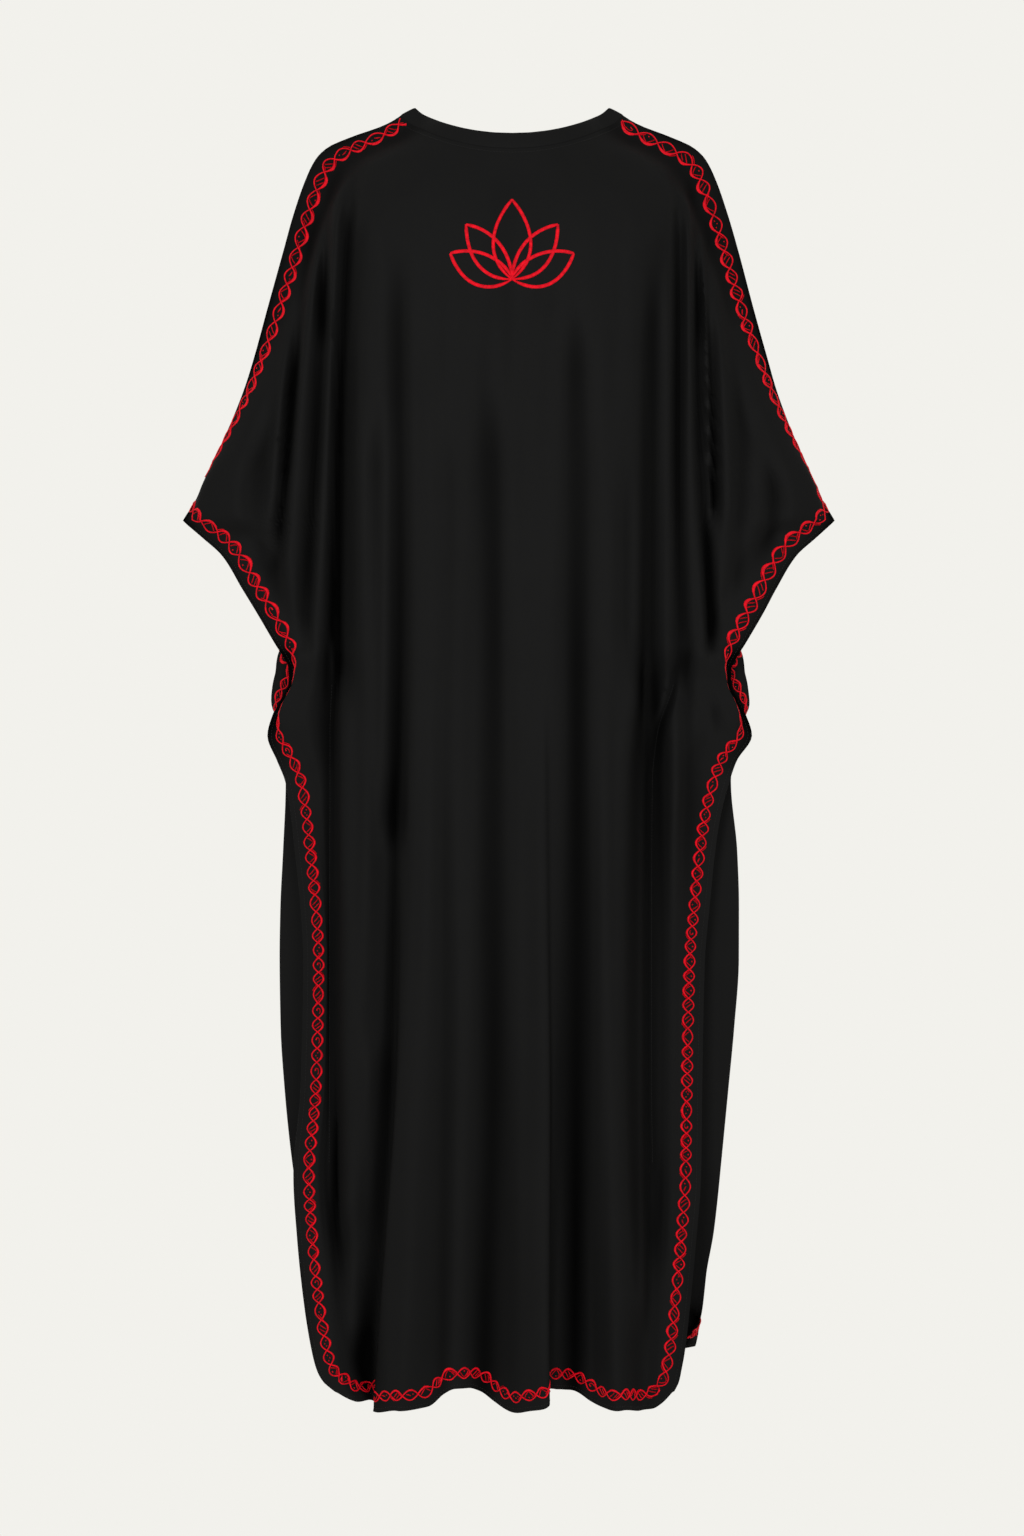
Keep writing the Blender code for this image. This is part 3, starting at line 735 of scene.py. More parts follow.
class Sheet:
    """A panel's cloth as two grids of points, read at any place (u, v) between its points."""

    def __init__(self, cut: PanelCut) -> None:
        """Works out the outer face and its normals.

        Args:
            cut: The panel's shape.
        """
        self.cut = cut
        self.outer = cut.outer()
        across = directions(self.outer.swapaxes(0, 1)).swapaxes(0, 1)
        self.normals = unit(np.cross(across, directions(self.outer))) * cut.facing
        self.step_in = -CLOTH_WALL * self.normals

    @property
    def inner(self) -> np.ndarray:
        """The wrong side of the cloth."""
        return self.outer + self.step_in

    def shade(self) -> np.ndarray:
        """How far each point lies down in a fold, from 0 on a ridge or on flat cloth to 1, which the crepe
        paints as shade.

        Returns:
            One value for each point of the outer face.
        """
        shades = []
        for row in self.outer:
            place = along(row)
            weights = np.exp(-0.5 * ((place[:, None] - place[None]) / SHADE_WIDTH) ** 2)
            out = row[:, 1] * self.cut.facing
            around = (weights @ out) / weights.sum(axis=1)
            shades.append(np.clip((around - out) / SHADE_DEPTH, 0.0, 1.0))
        return np.array(shades)

    @staticmethod
    def read(grid: np.ndarray, u: np.ndarray, v: np.ndarray) -> np.ndarray:
        """Reads a grid between its points.

        Args:
            grid: Rows and columns of values.
            u: Places along the columns.
            v: Places along the rows.

        Returns:
            The values at the places.
        """
        rows, columns = grid.shape[:2]
        u = np.clip(u, 0.0, columns - 1.0)
        v = np.clip(v, 0.0, rows - 1.0)
        c = np.minimum(u.astype(int), columns - 2)
        r = np.minimum(v.astype(int), rows - 2)
        a, b = (u - c)[..., None], (v - r)[..., None]
        top = grid[r, c] * (1 - a) + grid[r, c + 1] * a
        low = grid[r + 1, c] * (1 - a) + grid[r + 1, c + 1] * a
        return top * (1 - b) + low * b

    def point(self, u: np.ndarray, v: np.ndarray) -> np.ndarray:
        """Points of the outer face."""
        return self.read(self.outer, u, v)

    def normal(self, u: np.ndarray, v: np.ndarray) -> np.ndarray:
        """Unit normals of the outer face."""
        return unit(self.read(self.normals, u, v))

    def slopes(self, u: np.ndarray, v: np.ndarray) -> tuple[np.ndarray, np.ndarray]:
        """How a point moves for one column and for one row.

        Args:
            u: Places along the columns.
            v: Places along the rows.

        Returns:
            The two movements, in millimetres.
        """
        rows, columns = self.outer.shape[:2]
        low, high = np.clip(u - 0.5, 0, columns - 1.5), np.clip(u + 0.5, 0.5, columns - 1)
        across = (self.point(high, v) - self.point(low, v)) / (high - low)[..., None]
        low, high = np.clip(v - 0.5, 0, rows - 1.5), np.clip(v + 0.5, 0.5, rows - 1)
        down = (self.point(u, high) - self.point(u, low)) / (high - low)[..., None]
        return across, down

    def walk(self, u: np.ndarray, v: np.ndarray, way: np.ndarray, step: float,
             count: int) -> list[tuple[np.ndarray, np.ndarray]]:
        """Walks straight over the cloth from each place.

        Args:
            u: The columns to start from.
            v: The rows to start from.
            way: Directions in space to start in.
            step: The length of a step, in millimetres.
            count: How many steps.

        Returns:
            The places after each step.
        """
        places = []
        for _ in range(count):
            across, down = self.slopes(u, v)
            normal = unit(np.cross(across, down))
            way = unit(way - normal * dot(way, normal)[..., None])
            # The columns and rows that together make one step along the way
            a, b, c = dot(across, across), dot(across, down), dot(down, down)
            p, q = dot(across, way), dot(down, way)
            size = a * c - b * b
            u = u + step * (c * p - b * q) / size
            v = v + step * (a * q - b * p) / size
            places.append((u, v))
        return places

    def find(self, x: np.ndarray, z: np.ndarray) -> tuple[np.ndarray, np.ndarray]:
        """Places of the outer face that lie at given distances across and up, in the smooth middle.

        Args:
            x: Distances from the middle.
            z: Distances up from the neck points.

        Returns:
            The places' columns and rows.
        """
        columns = self.outer.shape[1]
        flat = self.outer[:, :, (0, 2)].reshape(-1, 2)
        within = (flat[:, 1] > GROUND_BOTTOM) & (flat[:, 1] < GROUND_TOP)
        near = np.nonzero(within & (np.abs(flat[:, 0]) < GROUND_HALF))[0]
        wanted = np.stack([x.ravel(), z.ravel()], axis=1)
        gap = np.linalg.norm(wanted[:, None] - flat[near][None], axis=2)
        first = near[gap.argmin(axis=1)].reshape(x.shape)
        u, v = (first % columns).astype(float), (first // columns).astype(float)
        for _ in range(FIND_ROUNDS):
            across, down = self.slopes(u, v)
            # What is still missing across and up, turned into columns and rows by the slopes
            off = self.point(u, v)
            p, q = x - off[..., 0], z - off[..., 2]
            size = across[..., 0] * down[..., 2] - across[..., 2] * down[..., 0]
            u = u + (p * down[..., 2] - q * down[..., 0]) / size
            v = v + (across[..., 0] * q - across[..., 2] * p) / size
        return u, v


def join_arms(back: Sheet, front: Sheet) -> None:
    """Mitres both panels' walls along the shoulders and arms, and parts them by the seam's gap.

    Args:
        back: The back panel's cloth.
        front: The front panel's cloth.
    """
    sewn = back.cut.heights() <= TIP_HEIGHT + TINY
    for side in (0, -1):
        n_back, n_front = back.normals[sewn, side], front.normals[sewn, side]
        alike = dot(n_back, n_front)[:, None]
        mitre = -CLOTH_WALL * (n_back + n_front) / (1 + alike)
        length = np.linalg.norm(mitre, axis=1, keepdims=True)
        mitre *= np.minimum(1.0, LARGEST_MITRE * CLOTH_WALL / np.maximum(length, TINY))
        back.step_in[sewn, side] = mitre
        front.step_in[sewn, side] = mitre
        across = unit(n_front - n_back) * SEAM_GAP / 2
        back.outer[sewn, side] -= across
        front.outer[sewn, side] += across


def wall_faces(rows: int, columns: int, closed: bool) -> list[tuple[int, ...]]:
    """Faces of a wall made of two grids of points, the outer one first, with its rims.

    Args:
        rows: Rows of each grid.
        columns: Columns of each grid.
        closed: Whether the last column joins the first.

    Returns:
        The faces, which point out of the wall.
    """
    inner = rows * columns
    low = (rows - 1) * columns
    faces = []
    last = columns if closed else columns - 1
    for r in range(rows - 1):
        for c in range(last):
            d = (c + 1) % columns
            a, b = r * columns + c, r * columns + d
            e, f = a + columns, b + columns
            faces.append((a, e, f, b))
            faces.append((a + inner, b + inner, f + inner, e + inner))
    for c in range(last):
        d = (c + 1) % columns
        faces.append((c, d, d + inner, c + inner))
        faces.append((low + d, low + c, low + c + inner, low + d + inner))
    if not closed:
        for r in range(rows - 1):
            a, e = r * columns, (r + 1) * columns
            b, f = a + columns - 1, e + columns - 1
            faces.append((a, a + inner, e + inner, e))
            faces.append((b, f, f + inner, b + inner))
    return faces


def add_object(name: str, data: bpy.types.ID) -> bpy.types.Object:
    """Adds an object to the scene.

    Args:
        name: The object's name.
        data: Its mesh, lamp or camera.

    Returns:
        The object.
    """
    obj = bpy.data.objects.new(name, data)
    bpy.context.scene.collection.objects.link(obj)
    return obj


def make_object(name: str, points: np.ndarray, faces: list, finish: bpy.types.Material,
                uv: np.ndarray | None = None) -> bpy.types.Object:
    """Makes a mesh object from points in millimetres.

    Args:
        name: The piece's name.
        points: One row for each point.
        faces: Tuples of point numbers.
        finish: The piece's material.
        uv: The piece's own flat coordinates, one row for each point, in metres.

    Returns:
        The object, which lies at the origin.
    """
    mesh = bpy.data.meshes.new(name)
    mesh.from_pydata((points * MM).tolist(), [], faces)
    if uv is not None:
        corners = np.empty(len(mesh.loops), dtype=np.int32)
        mesh.loops.foreach_get("vertex_index", corners)
        layer = mesh.uv_layers.new(name="flat")
        layer.data.foreach_set("uv", uv[corners].astype(np.float32).ravel())
    mesh.shade_smooth()
    mesh.set_sharp_from_angle(angle=math.radians(SHARP_FROM))
    mesh.materials.append(finish)
    return add_object(name, mesh)


def cloth_object(name: str, outer: np.ndarray, inner: np.ndarray, finish: bpy.types.Material,
                 shade: np.ndarray | None = None, closed: bool = False) -> bpy.types.Object:
    """Makes the closed wall between two grids of points, with its flat coordinates.

    Args:
        name: The piece's name.
        outer: The grid of the right side.
        inner: The grid of the wrong side.
        finish: The piece's material.
        shade: How deep in a fold each point of the right side lies, kept as the attribute of the painted
            shade.
        closed: Whether the last column joins the first.

    Returns:
        The object.
    """
    rows, columns = outer.shape[:2]
    across = along(outer, 1)
    across -= across[:, columns // 2][:, None]
    flat = np.stack([across, -along(outer)], axis=2).reshape(-1, 2) * MM
    points = np.concatenate([outer.reshape(-1, 3), inner.reshape(-1, 3)])
    uv = np.concatenate([flat, flat])
    cloth = make_object(name, points, wall_faces(rows, columns, closed), finish, uv)
    if shade is not None:
        layer = cloth.data.attributes.new(FOLD_SHADE, "FLOAT", "POINT")
        values = np.concatenate([shade.ravel(), np.zeros(shade.size)])
        layer.data.foreach_set("value", values.astype(np.float32))
    return cloth


class Ribbon:
    """A strip along a panel's edge laid out flat: t runs along it, and e across it, inwards."""

    def __init__(self, sheet: Sheet, u: np.ndarray, v: np.ndarray, turn_reach: float) -> None:
        """Walks in from the panel's edge to the border's centre line, and from there to both sides.

        Args:
            sheet: The panel.
            u: Columns of the places along its edge.
            v: Rows of those places.
            turn_reach: Over how many millimetres a corner of the edge is rounded.
        """
        self.sheet = sheet
        u, v, points = self.spread(u, v, EDGE_SPACING)
        way = self.inwards(u, v, points, turn_reach / EDGE_SPACING)
        count = int(round(BORDER_CENTRE / WALK_STEP))
        u, v = sheet.walk(u, v, way, BORDER_CENTRE / count, count)[-1]
        places = blur(np.stack([u, v], axis=1), LINE_BLUR)
        u, v, points = self.spread(places[:, 0], places[:, 1], 1.0)
        way = self.inwards(u, v, points, LINE_BLUR)
        steps = int(BORDER_HALF)
        out = sheet.walk(u, v, -way, 1.0, steps)[::-1]
        within = sheet.walk(u, v, way, 1.0, steps)
        places = np.stack([np.stack(pair, axis=1) for pair in out + [(u, v)] + within], axis=1)
        self.length = float(len(u) - 1)
        before, after = self.extend(places[0], places[1]), self.extend(places[-1], places[-2])
        self.places = np.concatenate([before[::-1], places, after])

    def extend(self, last: np.ndarray, inner: np.ndarray) -> np.ndarray:
        """Walks on past one end of the strip, so that its loops are cut by the seam and not squeezed.

        Args:
            last: Places of the strip's last line across.
            inner: Places of the line before it.

        Returns:
            Places of the added lines across.
        """
        way = unit(self.sheet.point(last[:, 0], last[:, 1]) - self.sheet.point(inner[:, 0], inner[:, 1]))
        steps = self.sheet.walk(last[:, 0], last[:, 1], way, 1.0, STRIP_EXTENSION)
        return np.stack([np.stack(pair, axis=1) for pair in steps])

    def spread(self, u: np.ndarray, v: np.ndarray, spacing: float) -> tuple:
        """Spaces places evenly along their line.

        Args:
            u: Columns of the line's places.
            v: Rows of the line's places.
            spacing: The distance wanted between two places, in millimetres.

        Returns:
            The new columns and rows, and their points.
        """
        reach = along(self.sheet.point(u, v))
        at = np.linspace(0.0, reach[-1], max(2, int(round(reach[-1] / spacing)) + 1))
        u, v = np.interp(at, reach, u), np.interp(at, reach, v)
        return u, v, self.sheet.point(u, v)

    def inwards(self, u: np.ndarray, v: np.ndarray, points: np.ndarray, sigma: float) -> np.ndarray:
        """Directions that lie in the cloth, square to a line and away from the panel's edge."""
        tangent = unit(blur(directions(points), sigma))
        return -self.sheet.cut.facing * unit(np.cross(self.sheet.normal(u, v), tangent))

    def lay(self, t: np.ndarray, e: np.ndarray) -> tuple[np.ndarray, np.ndarray]:
        """Places (u, v) of the cloth for flat coordinates on the strip.

        Args:
            t: Distances along the strip.
            e: Distances across it, inwards from its middle.

        Returns:
            The places' columns and rows.
        """
        middle = (self.places.shape[1] - 1) / 2
        across, down = np.asarray(e + middle, float), np.asarray(t + STRIP_EXTENSION, float)
        places = Sheet.read(self.places, across, down)
        return places[..., 0], places[..., 1]


class FlowerGround:
    """The back below the neck, laid out by distances across and up."""

    def __init__(self, sheet: Sheet) -> None:
        """Takes the back panel's cloth."""
        self.sheet = sheet

    def lay(self, x: np.ndarray, z: np.ndarray) -> tuple[np.ndarray, np.ndarray]:
        """Places (u, v) of the cloth for distances from the flower's base."""
        return self.sheet.find(x, z + FLOWER_BASE)


@dataclass(frozen=True)
class StrokeShape:
    """The cross-section of a stitched stroke: places across it, and heights against its rise."""

    across: tuple[float, ...]
    height: tuple[float, ...]


SATIN = StrokeShape((-1.0, -0.62, 0.0, 0.62, 1.0, 0.85, -0.85), (0.0, 0.78, 1.0, 0.78, 0.0, -1.0, -1.0))
RUNNING = StrokeShape((-1.0, 0.0, 1.0, 0.75, -0.75), (0.0, 1.0, 0.0, -1.0, -1.0))


class Embroidery:
    """Strokes of thread on a panel, gathered into one mesh."""

    def __init__(self, sheet: Sheet) -> None:
        """Starts an empty piece on the right side of a panel.

        Args:
            sheet: The panel's cloth.
        """
        self.sheet = sheet
        self.points: list[np.ndarray] = []
        self.flat: list[np.ndarray] = []
        self.faces: list[tuple[int, ...]] = []
        self.count = 0

    def on_cloth(self, places: tuple[np.ndarray, np.ndarray]) -> list[slice]:
        """The stretches of a line that lie on the cloth, clear of its edges.

        Args:
            places: The columns and rows of the line's points.

        Returns:
            The stretches, as slices of the line.
        """
        u, v = places
        rows, columns = self.sheet.outer.shape[:2]
        inside = (u > EDGE_CLEARANCE) & (u < columns - 1 - EDGE_CLEARANCE)
        inside &= (v > EDGE_CLEARANCE) & (v < rows - 1 - EDGE_CLEARANCE)
        if self.sheet.cut is FRONT:
            points = self.sheet.point(u, v)
            inside &= (points[:, 0] < PLAIN_CORNER_X) | (points[:, 2] > -PLAIN_CORNER_HEIGHT)
        ends = np.flatnonzero(np.diff(np.concatenate([[0], inside.astype(int), [0]])))
        return [slice(int(a), int(b)) for a, b in zip(ends[::2], ends[1::2]) if b - a > 2]

    def stroke(self, strip: Ribbon | FlowerGround, a: np.ndarray, b: np.ndarray, half: np.ndarray,
               rise: float, lift: np.ndarray | float = 0.0, shape: StrokeShape = SATIN) -> None:
        """Adds one stroke, cut off where it would leave the cloth.

        Args:
            strip: What the flat coordinates belong to.
            a: The stroke's line along the strip.
            b: The stroke's line across the strip.
            half: Half of its width at each place.
            rise: How far its crest stands above the cloth.
            lift: How far the stroke is raised where it passes over another.
            shape: Its cross-section.
        """
        lift = np.broadcast_to(lift, a.shape)
        for kept in self.on_cloth(strip.lay(a, b)):
            self.thread(strip, np.stack([a, b, half, lift])[:, kept], rise, shape)

    def thread(self, strip: Ribbon | FlowerGround, line: np.ndarray, rise: float,
               shape: StrokeShape) -> None:
        """Adds a stretch of stitches that lies wholly on the cloth.

        Args:
            strip: What the flat coordinates belong to.
            line: Four rows: places along and across the strip, half widths, and lifts.
            rise: How far its crest stands above the cloth.
            shape: Its cross-section.
        """
        a, b, half, lift = line
        step_a, step_b = np.gradient(a), np.gradient(b)
        size = np.maximum(np.hypot(step_a, step_b), TINY)
        across = np.array(shape.across)
        height = np.array(shape.height)
        wide_a = a[:, None] - (step_b / size * half)[:, None] * across
        wide_b = b[:, None] + (step_a / size * half)[:, None] * across
        places = strip.lay(wide_a, wide_b)
        points, normals = self.sheet.point(*places), self.sheet.normal(*places)
        raised = np.where(height > 0, height * rise, 0.0) + lift[:, None]
        raised = np.where(height < 0, -THREAD_SINK, raised)
        points = points + normals * raised[..., None]
        rings, ring = points.shape[:2]
        first_face = np.cross(points[1, 0] - points[0, 0], points[0, 1] - points[0, 0])
        turned = dot(first_face, normals[0, 0]) > 0
        for k in range(rings - 1):
            for j in range(ring):
                i = (j + 1) % ring
                p, q = self.count + k * ring + j, self.count + k * ring + i
                face = (p, p + ring, q + ring, q)
                self.faces.append(face if turned else face[::-1])
        first = tuple(range(self.count, self.count + ring))
        last = tuple(range(self.count + (rings - 1) * ring, self.count + rings * ring))
        self.faces.append(first if turned else first[::-1])
        self.faces.append(last[::-1] if turned else last)
        reach = along(points[:, 1])
        flat = np.stack([np.broadcast_to(reach[:, None], (rings, ring)), half[:, None] * across], axis=2)
        self.points.append(points.reshape(-1, 3))
        self.flat.append(flat.reshape(-1, 2) * MM)
        self.count += rings * ring

    def build(self, name: str, finish: bpy.types.Material) -> bpy.types.Object:
        """Makes the mesh of all strokes."""
        return make_object(name, np.concatenate(self.points), self.faces, finish, np.concatenate(self.flat))


class Filling(Enum):
    """The small motif inside a loop of the twisted border."""

    CHEVRON = 0
    SLANT = 1
    SEEDS = 2
    CURL = 3
    CHEVRON_AND_SEED = 4
    LEAVES = 5


@dataclass(frozen=True)
class Dash:
    """A short line of a motif, with its ends in shares of the loop's length and half width.

    bend is how far it is bowed, as a share of the loop's half width, and bow a fixed part in millimetres.
    """

    start: tuple[float, float]
    end: tuple[float, float]
    half: float
    bend: float = 0.0
    bow: float = 0.0


@dataclass(frozen=True)
class Seed:
    """A dot of a motif, placed in shares of the loop's length and half width."""

    place: tuple[float, float]
    half: float


@dataclass(frozen=True)
class Curl:
    """A spiral of a motif: its turn in radians, its reach in shares of the loop, and its half width."""

    turns: tuple[float, float] = (0.5, 4.7)
    reach: float = 0.46
    tightening: float = 0.55
    half: float = 0.4
    swell: float = 0.3
    points: int = 11


@dataclass(frozen=True)
class Echo:
    """A line beside a strand, which runs from before a crossing to a place after it.

    It is sewn where the draw falls below the limit. Its ends are shares of the loops before and after the
    crossing, and loop says by which loop's width its start is measured.
    """

    limit: float
    loop: int
    start: tuple[float, float]
    end: tuple[float, float]
    bend: float
    half: float


CHEVRON = (Dash((-0.3, -0.3), (-0.02, 0.72), 0.56, 0.1), Dash((0.3, -0.3), (0.02, 0.72), 0.56, 0.1))
MOTIFS = {
    Filling.CHEVRON: CHEVRON,
    Filling.SLANT: (Dash((-0.24, 0.5), (0.1, -0.62), 0.56, 0.06),
                    Dash((0.02, 0.6), (0.28, -0.36), 0.52, 0.06)),
    Filling.SEEDS: (Seed((-0.17, 0.16), 0.72), Seed((0.03, -0.2), 0.72), Seed((0.2, 0.12), 0.72)),
    Filling.CURL: (Curl(),),
    Filling.CHEVRON_AND_SEED: (*CHEVRON, Seed((0.0, -0.42), 0.76)),
    Filling.LEAVES: (Dash((-0.26, 0.2), (0.02, -0.14), 0.62, bow=0.35), Seed((0.17, 0.12), 0.72)),
}
# How often each motif is drawn, in the order of its number
MOTIF_SHARES = (0.22, 0.24, 0.12, 0.1, 0.22, 0.1)
ECHOES = (
    Echo(0.45, -1, (-0.32, -0.5), (0.26, 0.72), 0.3, 0.6),
    Echo(0.75, 0, (-0.04, 0.35), (0.3, 1.16), 0.5, 0.56),
)


@dataclass
class TwistedBorder:
    """Two strands that cross in a row of pointed loops, with a small motif in each loop.

    Sizes are in millimetres. A jitter is the largest share by which a size strays from its mean, and a
    bulge is the power that shapes a loop or its swell. lean is what one side is thicker than the other.
    """

    strip: Ribbon
    seed: int
    along_sleeve: bool
    sleeve_loop_length: float = 21.0
    sleeve_loop_half: float = 6.6
    skirt_loop_length: float = 16.8
    skirt_loop_half: float = 5.5
    sleeve_reach: float = 175.0
    sleeve_fade: float = 60.0
    loop_jitter: float = 0.16
    width_jitter: float = 0.07
    swell_jitter: float = 0.3
    upright_share: float = 0.7
    stroke_step: float = 1.25
    stroke_half: float = 0.7
    stroke_swell: float = 0.6
    stroke_lean: float = 0.42
    stroke_bulge: float = 0.92
    swell_bulge: float = 1.5
    skirt_swell: float = 0.48
    crossing_rise: float = 0.45
    crossing_reach: float = 2.6
    line_points: int = 7
    line_taper: float = 0.25
    seed_points: int = 4
    seed_reach: float = 0.9
    seed_round: float = 1.2

    def sleeve_share(self, t: float) -> float:
        """How far a place counts as the sleeve, where the loops are larger.

        Args:
            t: A distance along the strip.

        Returns:
            1 on the sleeve, falling to 0 on the body.
        """
        if self.along_sleeve:
            return 1.0
        from_end = min(t, self.strip.length - t)
        return 1.0 - float(ease((from_end - self.sleeve_reach) / self.sleeve_fade))

    def crossings(self, rng: np.random.Generator) -> np.ndarray:
        """Places of the crossings along the strip, a little uneven, as in hand-guided stitching.

        Args:
            rng: The strip's random draws.

        Returns:
            Distances along the strip, from before it to past its end.
        """
        places = [-float(STRIP_EXTENSION)]
        while places[-1] < self.strip.length + STRIP_EXTENSION:
            share = self.sleeve_share(places[-1])
            length = self.skirt_loop_length + (self.sleeve_loop_length - self.skirt_loop_length) * share
            places.append(places[-1] + length * (1 + self.loop_jitter * rng.uniform(-1, 1)))
        whole = self.strip.length + 2 * STRIP_EXTENSION
        fitted = (np.array(places) - places[0]) * whole / (places[-1] - places[0])
        return fitted - STRIP_EXTENSION

    def strand(self, crossings: np.ndarray, halves: np.ndarray, swells: np.ndarray, first: int) -> tuple:
        """The line of one strand.

        Args:
            crossings: Places of the crossings along the strip.
            halves: Half of each loop's width.
            swells: How much the strand thickens in each loop.
            first: 1 or -1, the side on which the strand starts.

        Returns:
            The line's places along and across the strip, half of its width, and its lift.
        """
        steps = int((crossings[-1] - crossings[0]) / self.stroke_step)
        t = np.linspace(crossings[0], crossings[-1], steps + 1)
        loop = np.clip(np.searchsorted(crossings, t, side="right") - 1, 0, len(halves) - 1)
        share = (t - crossings[loop]) / (crossings[loop + 1] - crossings[loop])
        bulge = np.sin(math.pi * share)
        side = first * np.where(loop % 2 == 0, 1.0, -1.0)
        e = side * halves[loop] * bulge ** self.stroke_bulge
        swell = (self.stroke_swell + self.stroke_lean * side) * swells[loop] * bulge ** self.swell_bulge
        nearest = np.where(share < 0.5, loop, loop + 1)
        from_crossing = np.where(share < 0.5, t - crossings[loop], crossings[loop + 1] - t)
        over = np.where((nearest % 2 == 0) == (first > 0), 1.0, 0.0)
        lift = self.crossing_rise * over * np.exp(-(from_crossing / self.crossing_reach) ** 2)
        return t, e, self.stroke_half + swell, lift

    def seed_stitch(self, t: float, e: float, size: float) -> tuple:
        """A dot: one short thick stitch.

        Args:
            t: Its place along the strip.
            e: Its place across the strip.
            size: Half of its width.

        Returns:
            Places along and across, and half widths.
        """
        run = np.linspace(-self.seed_reach, self.seed_reach, self.seed_points) * size
        half = size * np.sqrt(1 - (run / (self.seed_round * size)) ** 2)
        return t + run, np.full(self.seed_points, e), half

    def line(self, start: tuple, end: tuple, bend: float, half: float) -> tuple:
        """A thin tapering line between two places, bowed to one side.

        Args:
            start: Its start, along and across the strip.
            end: Its end, along and across the strip.
            bend: How far its middle is pushed across.
            half: Half of its width in the middle.

        Returns:
            Places along and across, and half widths.
        """
        share = np.linspace(0.0, 1.0, self.line_points)
        bow = np.sin(math.pi * share)
        t = start[0] + (end[0] - start[0]) * share
        e = start[1] + (end[1] - start[1]) * share + bend * bow
        return t, e, half * (1 - self.line_taper + self.line_taper * bow)

    def filling(self, kind: Filling, start: float, end: float, half: float, flip: float) -> list[tuple]:
        """Lines of the motif in one loop, each as places along and across, and half widths.

        Args:
            kind: The motif.
            start: Where the loop starts along the strip.
            end: Where the loop ends.
            half: Half of the loop's width.
            flip: 1 or -1, which way up the motif is.

        Returns:
            The lines.
        """
        length = end - start
        middle = (start + end) / 2

        def at(place: tuple[float, float]) -> tuple[float, float]:
            """A place in the loop, from shares of its length and half width."""
            return middle + place[0] * length, flip * place[1] * half

        lines = []
        for part in MOTIFS[kind]:
            if isinstance(part, Dash):
                bend = flip * part.bend * half + part.bow
                lines.append(self.line(at(part.start), at(part.end), bend, part.half))
            elif isinstance(part, Seed):
                lines.append(self.seed_stitch(*at(part.place), part.half))
            else:
                share = np.linspace(0.0, 1.0, part.points)
                turn = part.turns[0] + (part.turns[1] - part.turns[0]) * share
                reach = part.reach * (1 - part.tightening * share)
                t = middle + reach * 0.5 * length * np.cos(turn)
                lines.append((t, flip * reach * half * np.sin(turn), part.half + part.swell * share))
        return lines

    def echoes(self, crossings: np.ndarray, halves: np.ndarray, rng: np.random.Generator) -> list[tuple]:
        """Lines that run beside a strand, as where the needle went twice, and overshoot the crossings.

        Args:
            crossings: Places of the crossings along the strip.
            halves: Half of each loop's width.
            rng: The strip's random draws.

        Returns:
            The lines, each as places along and across, and half widths.
        """
        lines = []
        for i in range(1, len(halves)):
            side = 1.0 if rng.random() < 0.5 else -1.0
            draw = rng.random()
            echo = next((echo for echo in ECHOES if draw < echo.limit), None)
            if echo is None:
                continue
            start = (crossings[i] + echo.start[0] * (crossings[i] - crossings[i - 1]),
                     side * echo.start[1] * halves[i + echo.loop])
            end = (crossings[i] + echo.end[0] * (crossings[i + 1] - crossings[i]),
                   side * echo.end[1] * halves[i])
            lines.append(self.line(start, end, side * echo.bend, echo.half))
        return lines

    def stitch(self, border: Embroidery) -> None:
        """Adds the strip's stitching to the border.

        Args:
            border: The piece that the strokes are added to.
        """
        rng = np.random.default_rng(self.seed)
        crossings = self.crossings(rng)
        shares = np.array([self.sleeve_share(place) for place in crossings[:-1]])
        halves = self.skirt_loop_half + (self.sleeve_loop_half - self.skirt_loop_half) * shares
        halves = halves * (1 + self.width_jitter * rng.uniform(-1, 1, len(halves)))
        swells = self.skirt_swell + (1 - self.skirt_swell) * shares
        swells = swells * (1 + self.swell_jitter * rng.uniform(-1, 1, len(halves)))
        for first in (1, -1):
            t, e, half, lift = self.strand(crossings, halves, swells, first)
            border.stroke(self.strip, t, e, half, THREAD_RISE, lift)
        kinds = list(Filling)
        lines = self.echoes(crossings, halves, rng)
        for i, half in enumerate(halves):
            kind = kinds[int(rng.choice(len(kinds), p=MOTIF_SHARES))]
            flip = 1.0 if rng.random() < self.upright_share else -1.0
            lines += self.filling(kind, crossings[i], crossings[i + 1], half, flip)
        for t, e, width in lines:
            border.stroke(self.strip, t, e, width, RUNNING_RISE, shape=RUNNING)


def bezier(points: tuple, count: int) -> tuple[np.ndarray, np.ndarray]:
    """Points of a cubic curve from its start, two handles and end.

    Args:
        points: Its start, two handles and end.
        count: How many points to make.

    Returns:
        The points' first and second coordinates.
    """
    share = np.linspace(0.0, 1.0, count)[:, None]
    a, b, c, d = (np.array(point, float) for point in points)
    line = (1 - share) ** 3 * a + 3 * (1 - share) ** 2 * share * b
    line = line + 3 * (1 - share) * share ** 2 * c + share ** 3 * d
    return line[:, 0], line[:, 1]


@dataclass(frozen=True)
class Petal:
    """One petal's outline from the flower's base to its tip: the handles of its two sides."""

    tip: tuple[float, float]
    outer: tuple[tuple[float, float], tuple[float, float]]
    inner: tuple[tuple[float, float], tuple[float, float]]
    order: float


PETALS = (
    Petal((65.2, 27.2), ((26, -17), (53, -8)), ((6, 20), (36, 37)), 0.0),
    Petal((48.6, 59), ((30, -1), (48, 20)), ((1, 26), (16, 53)), 0.16),
    Petal((0, 87), ((27, 20), (26, 54)), ((-27, 20), (-26, 54)), 0.32),
)


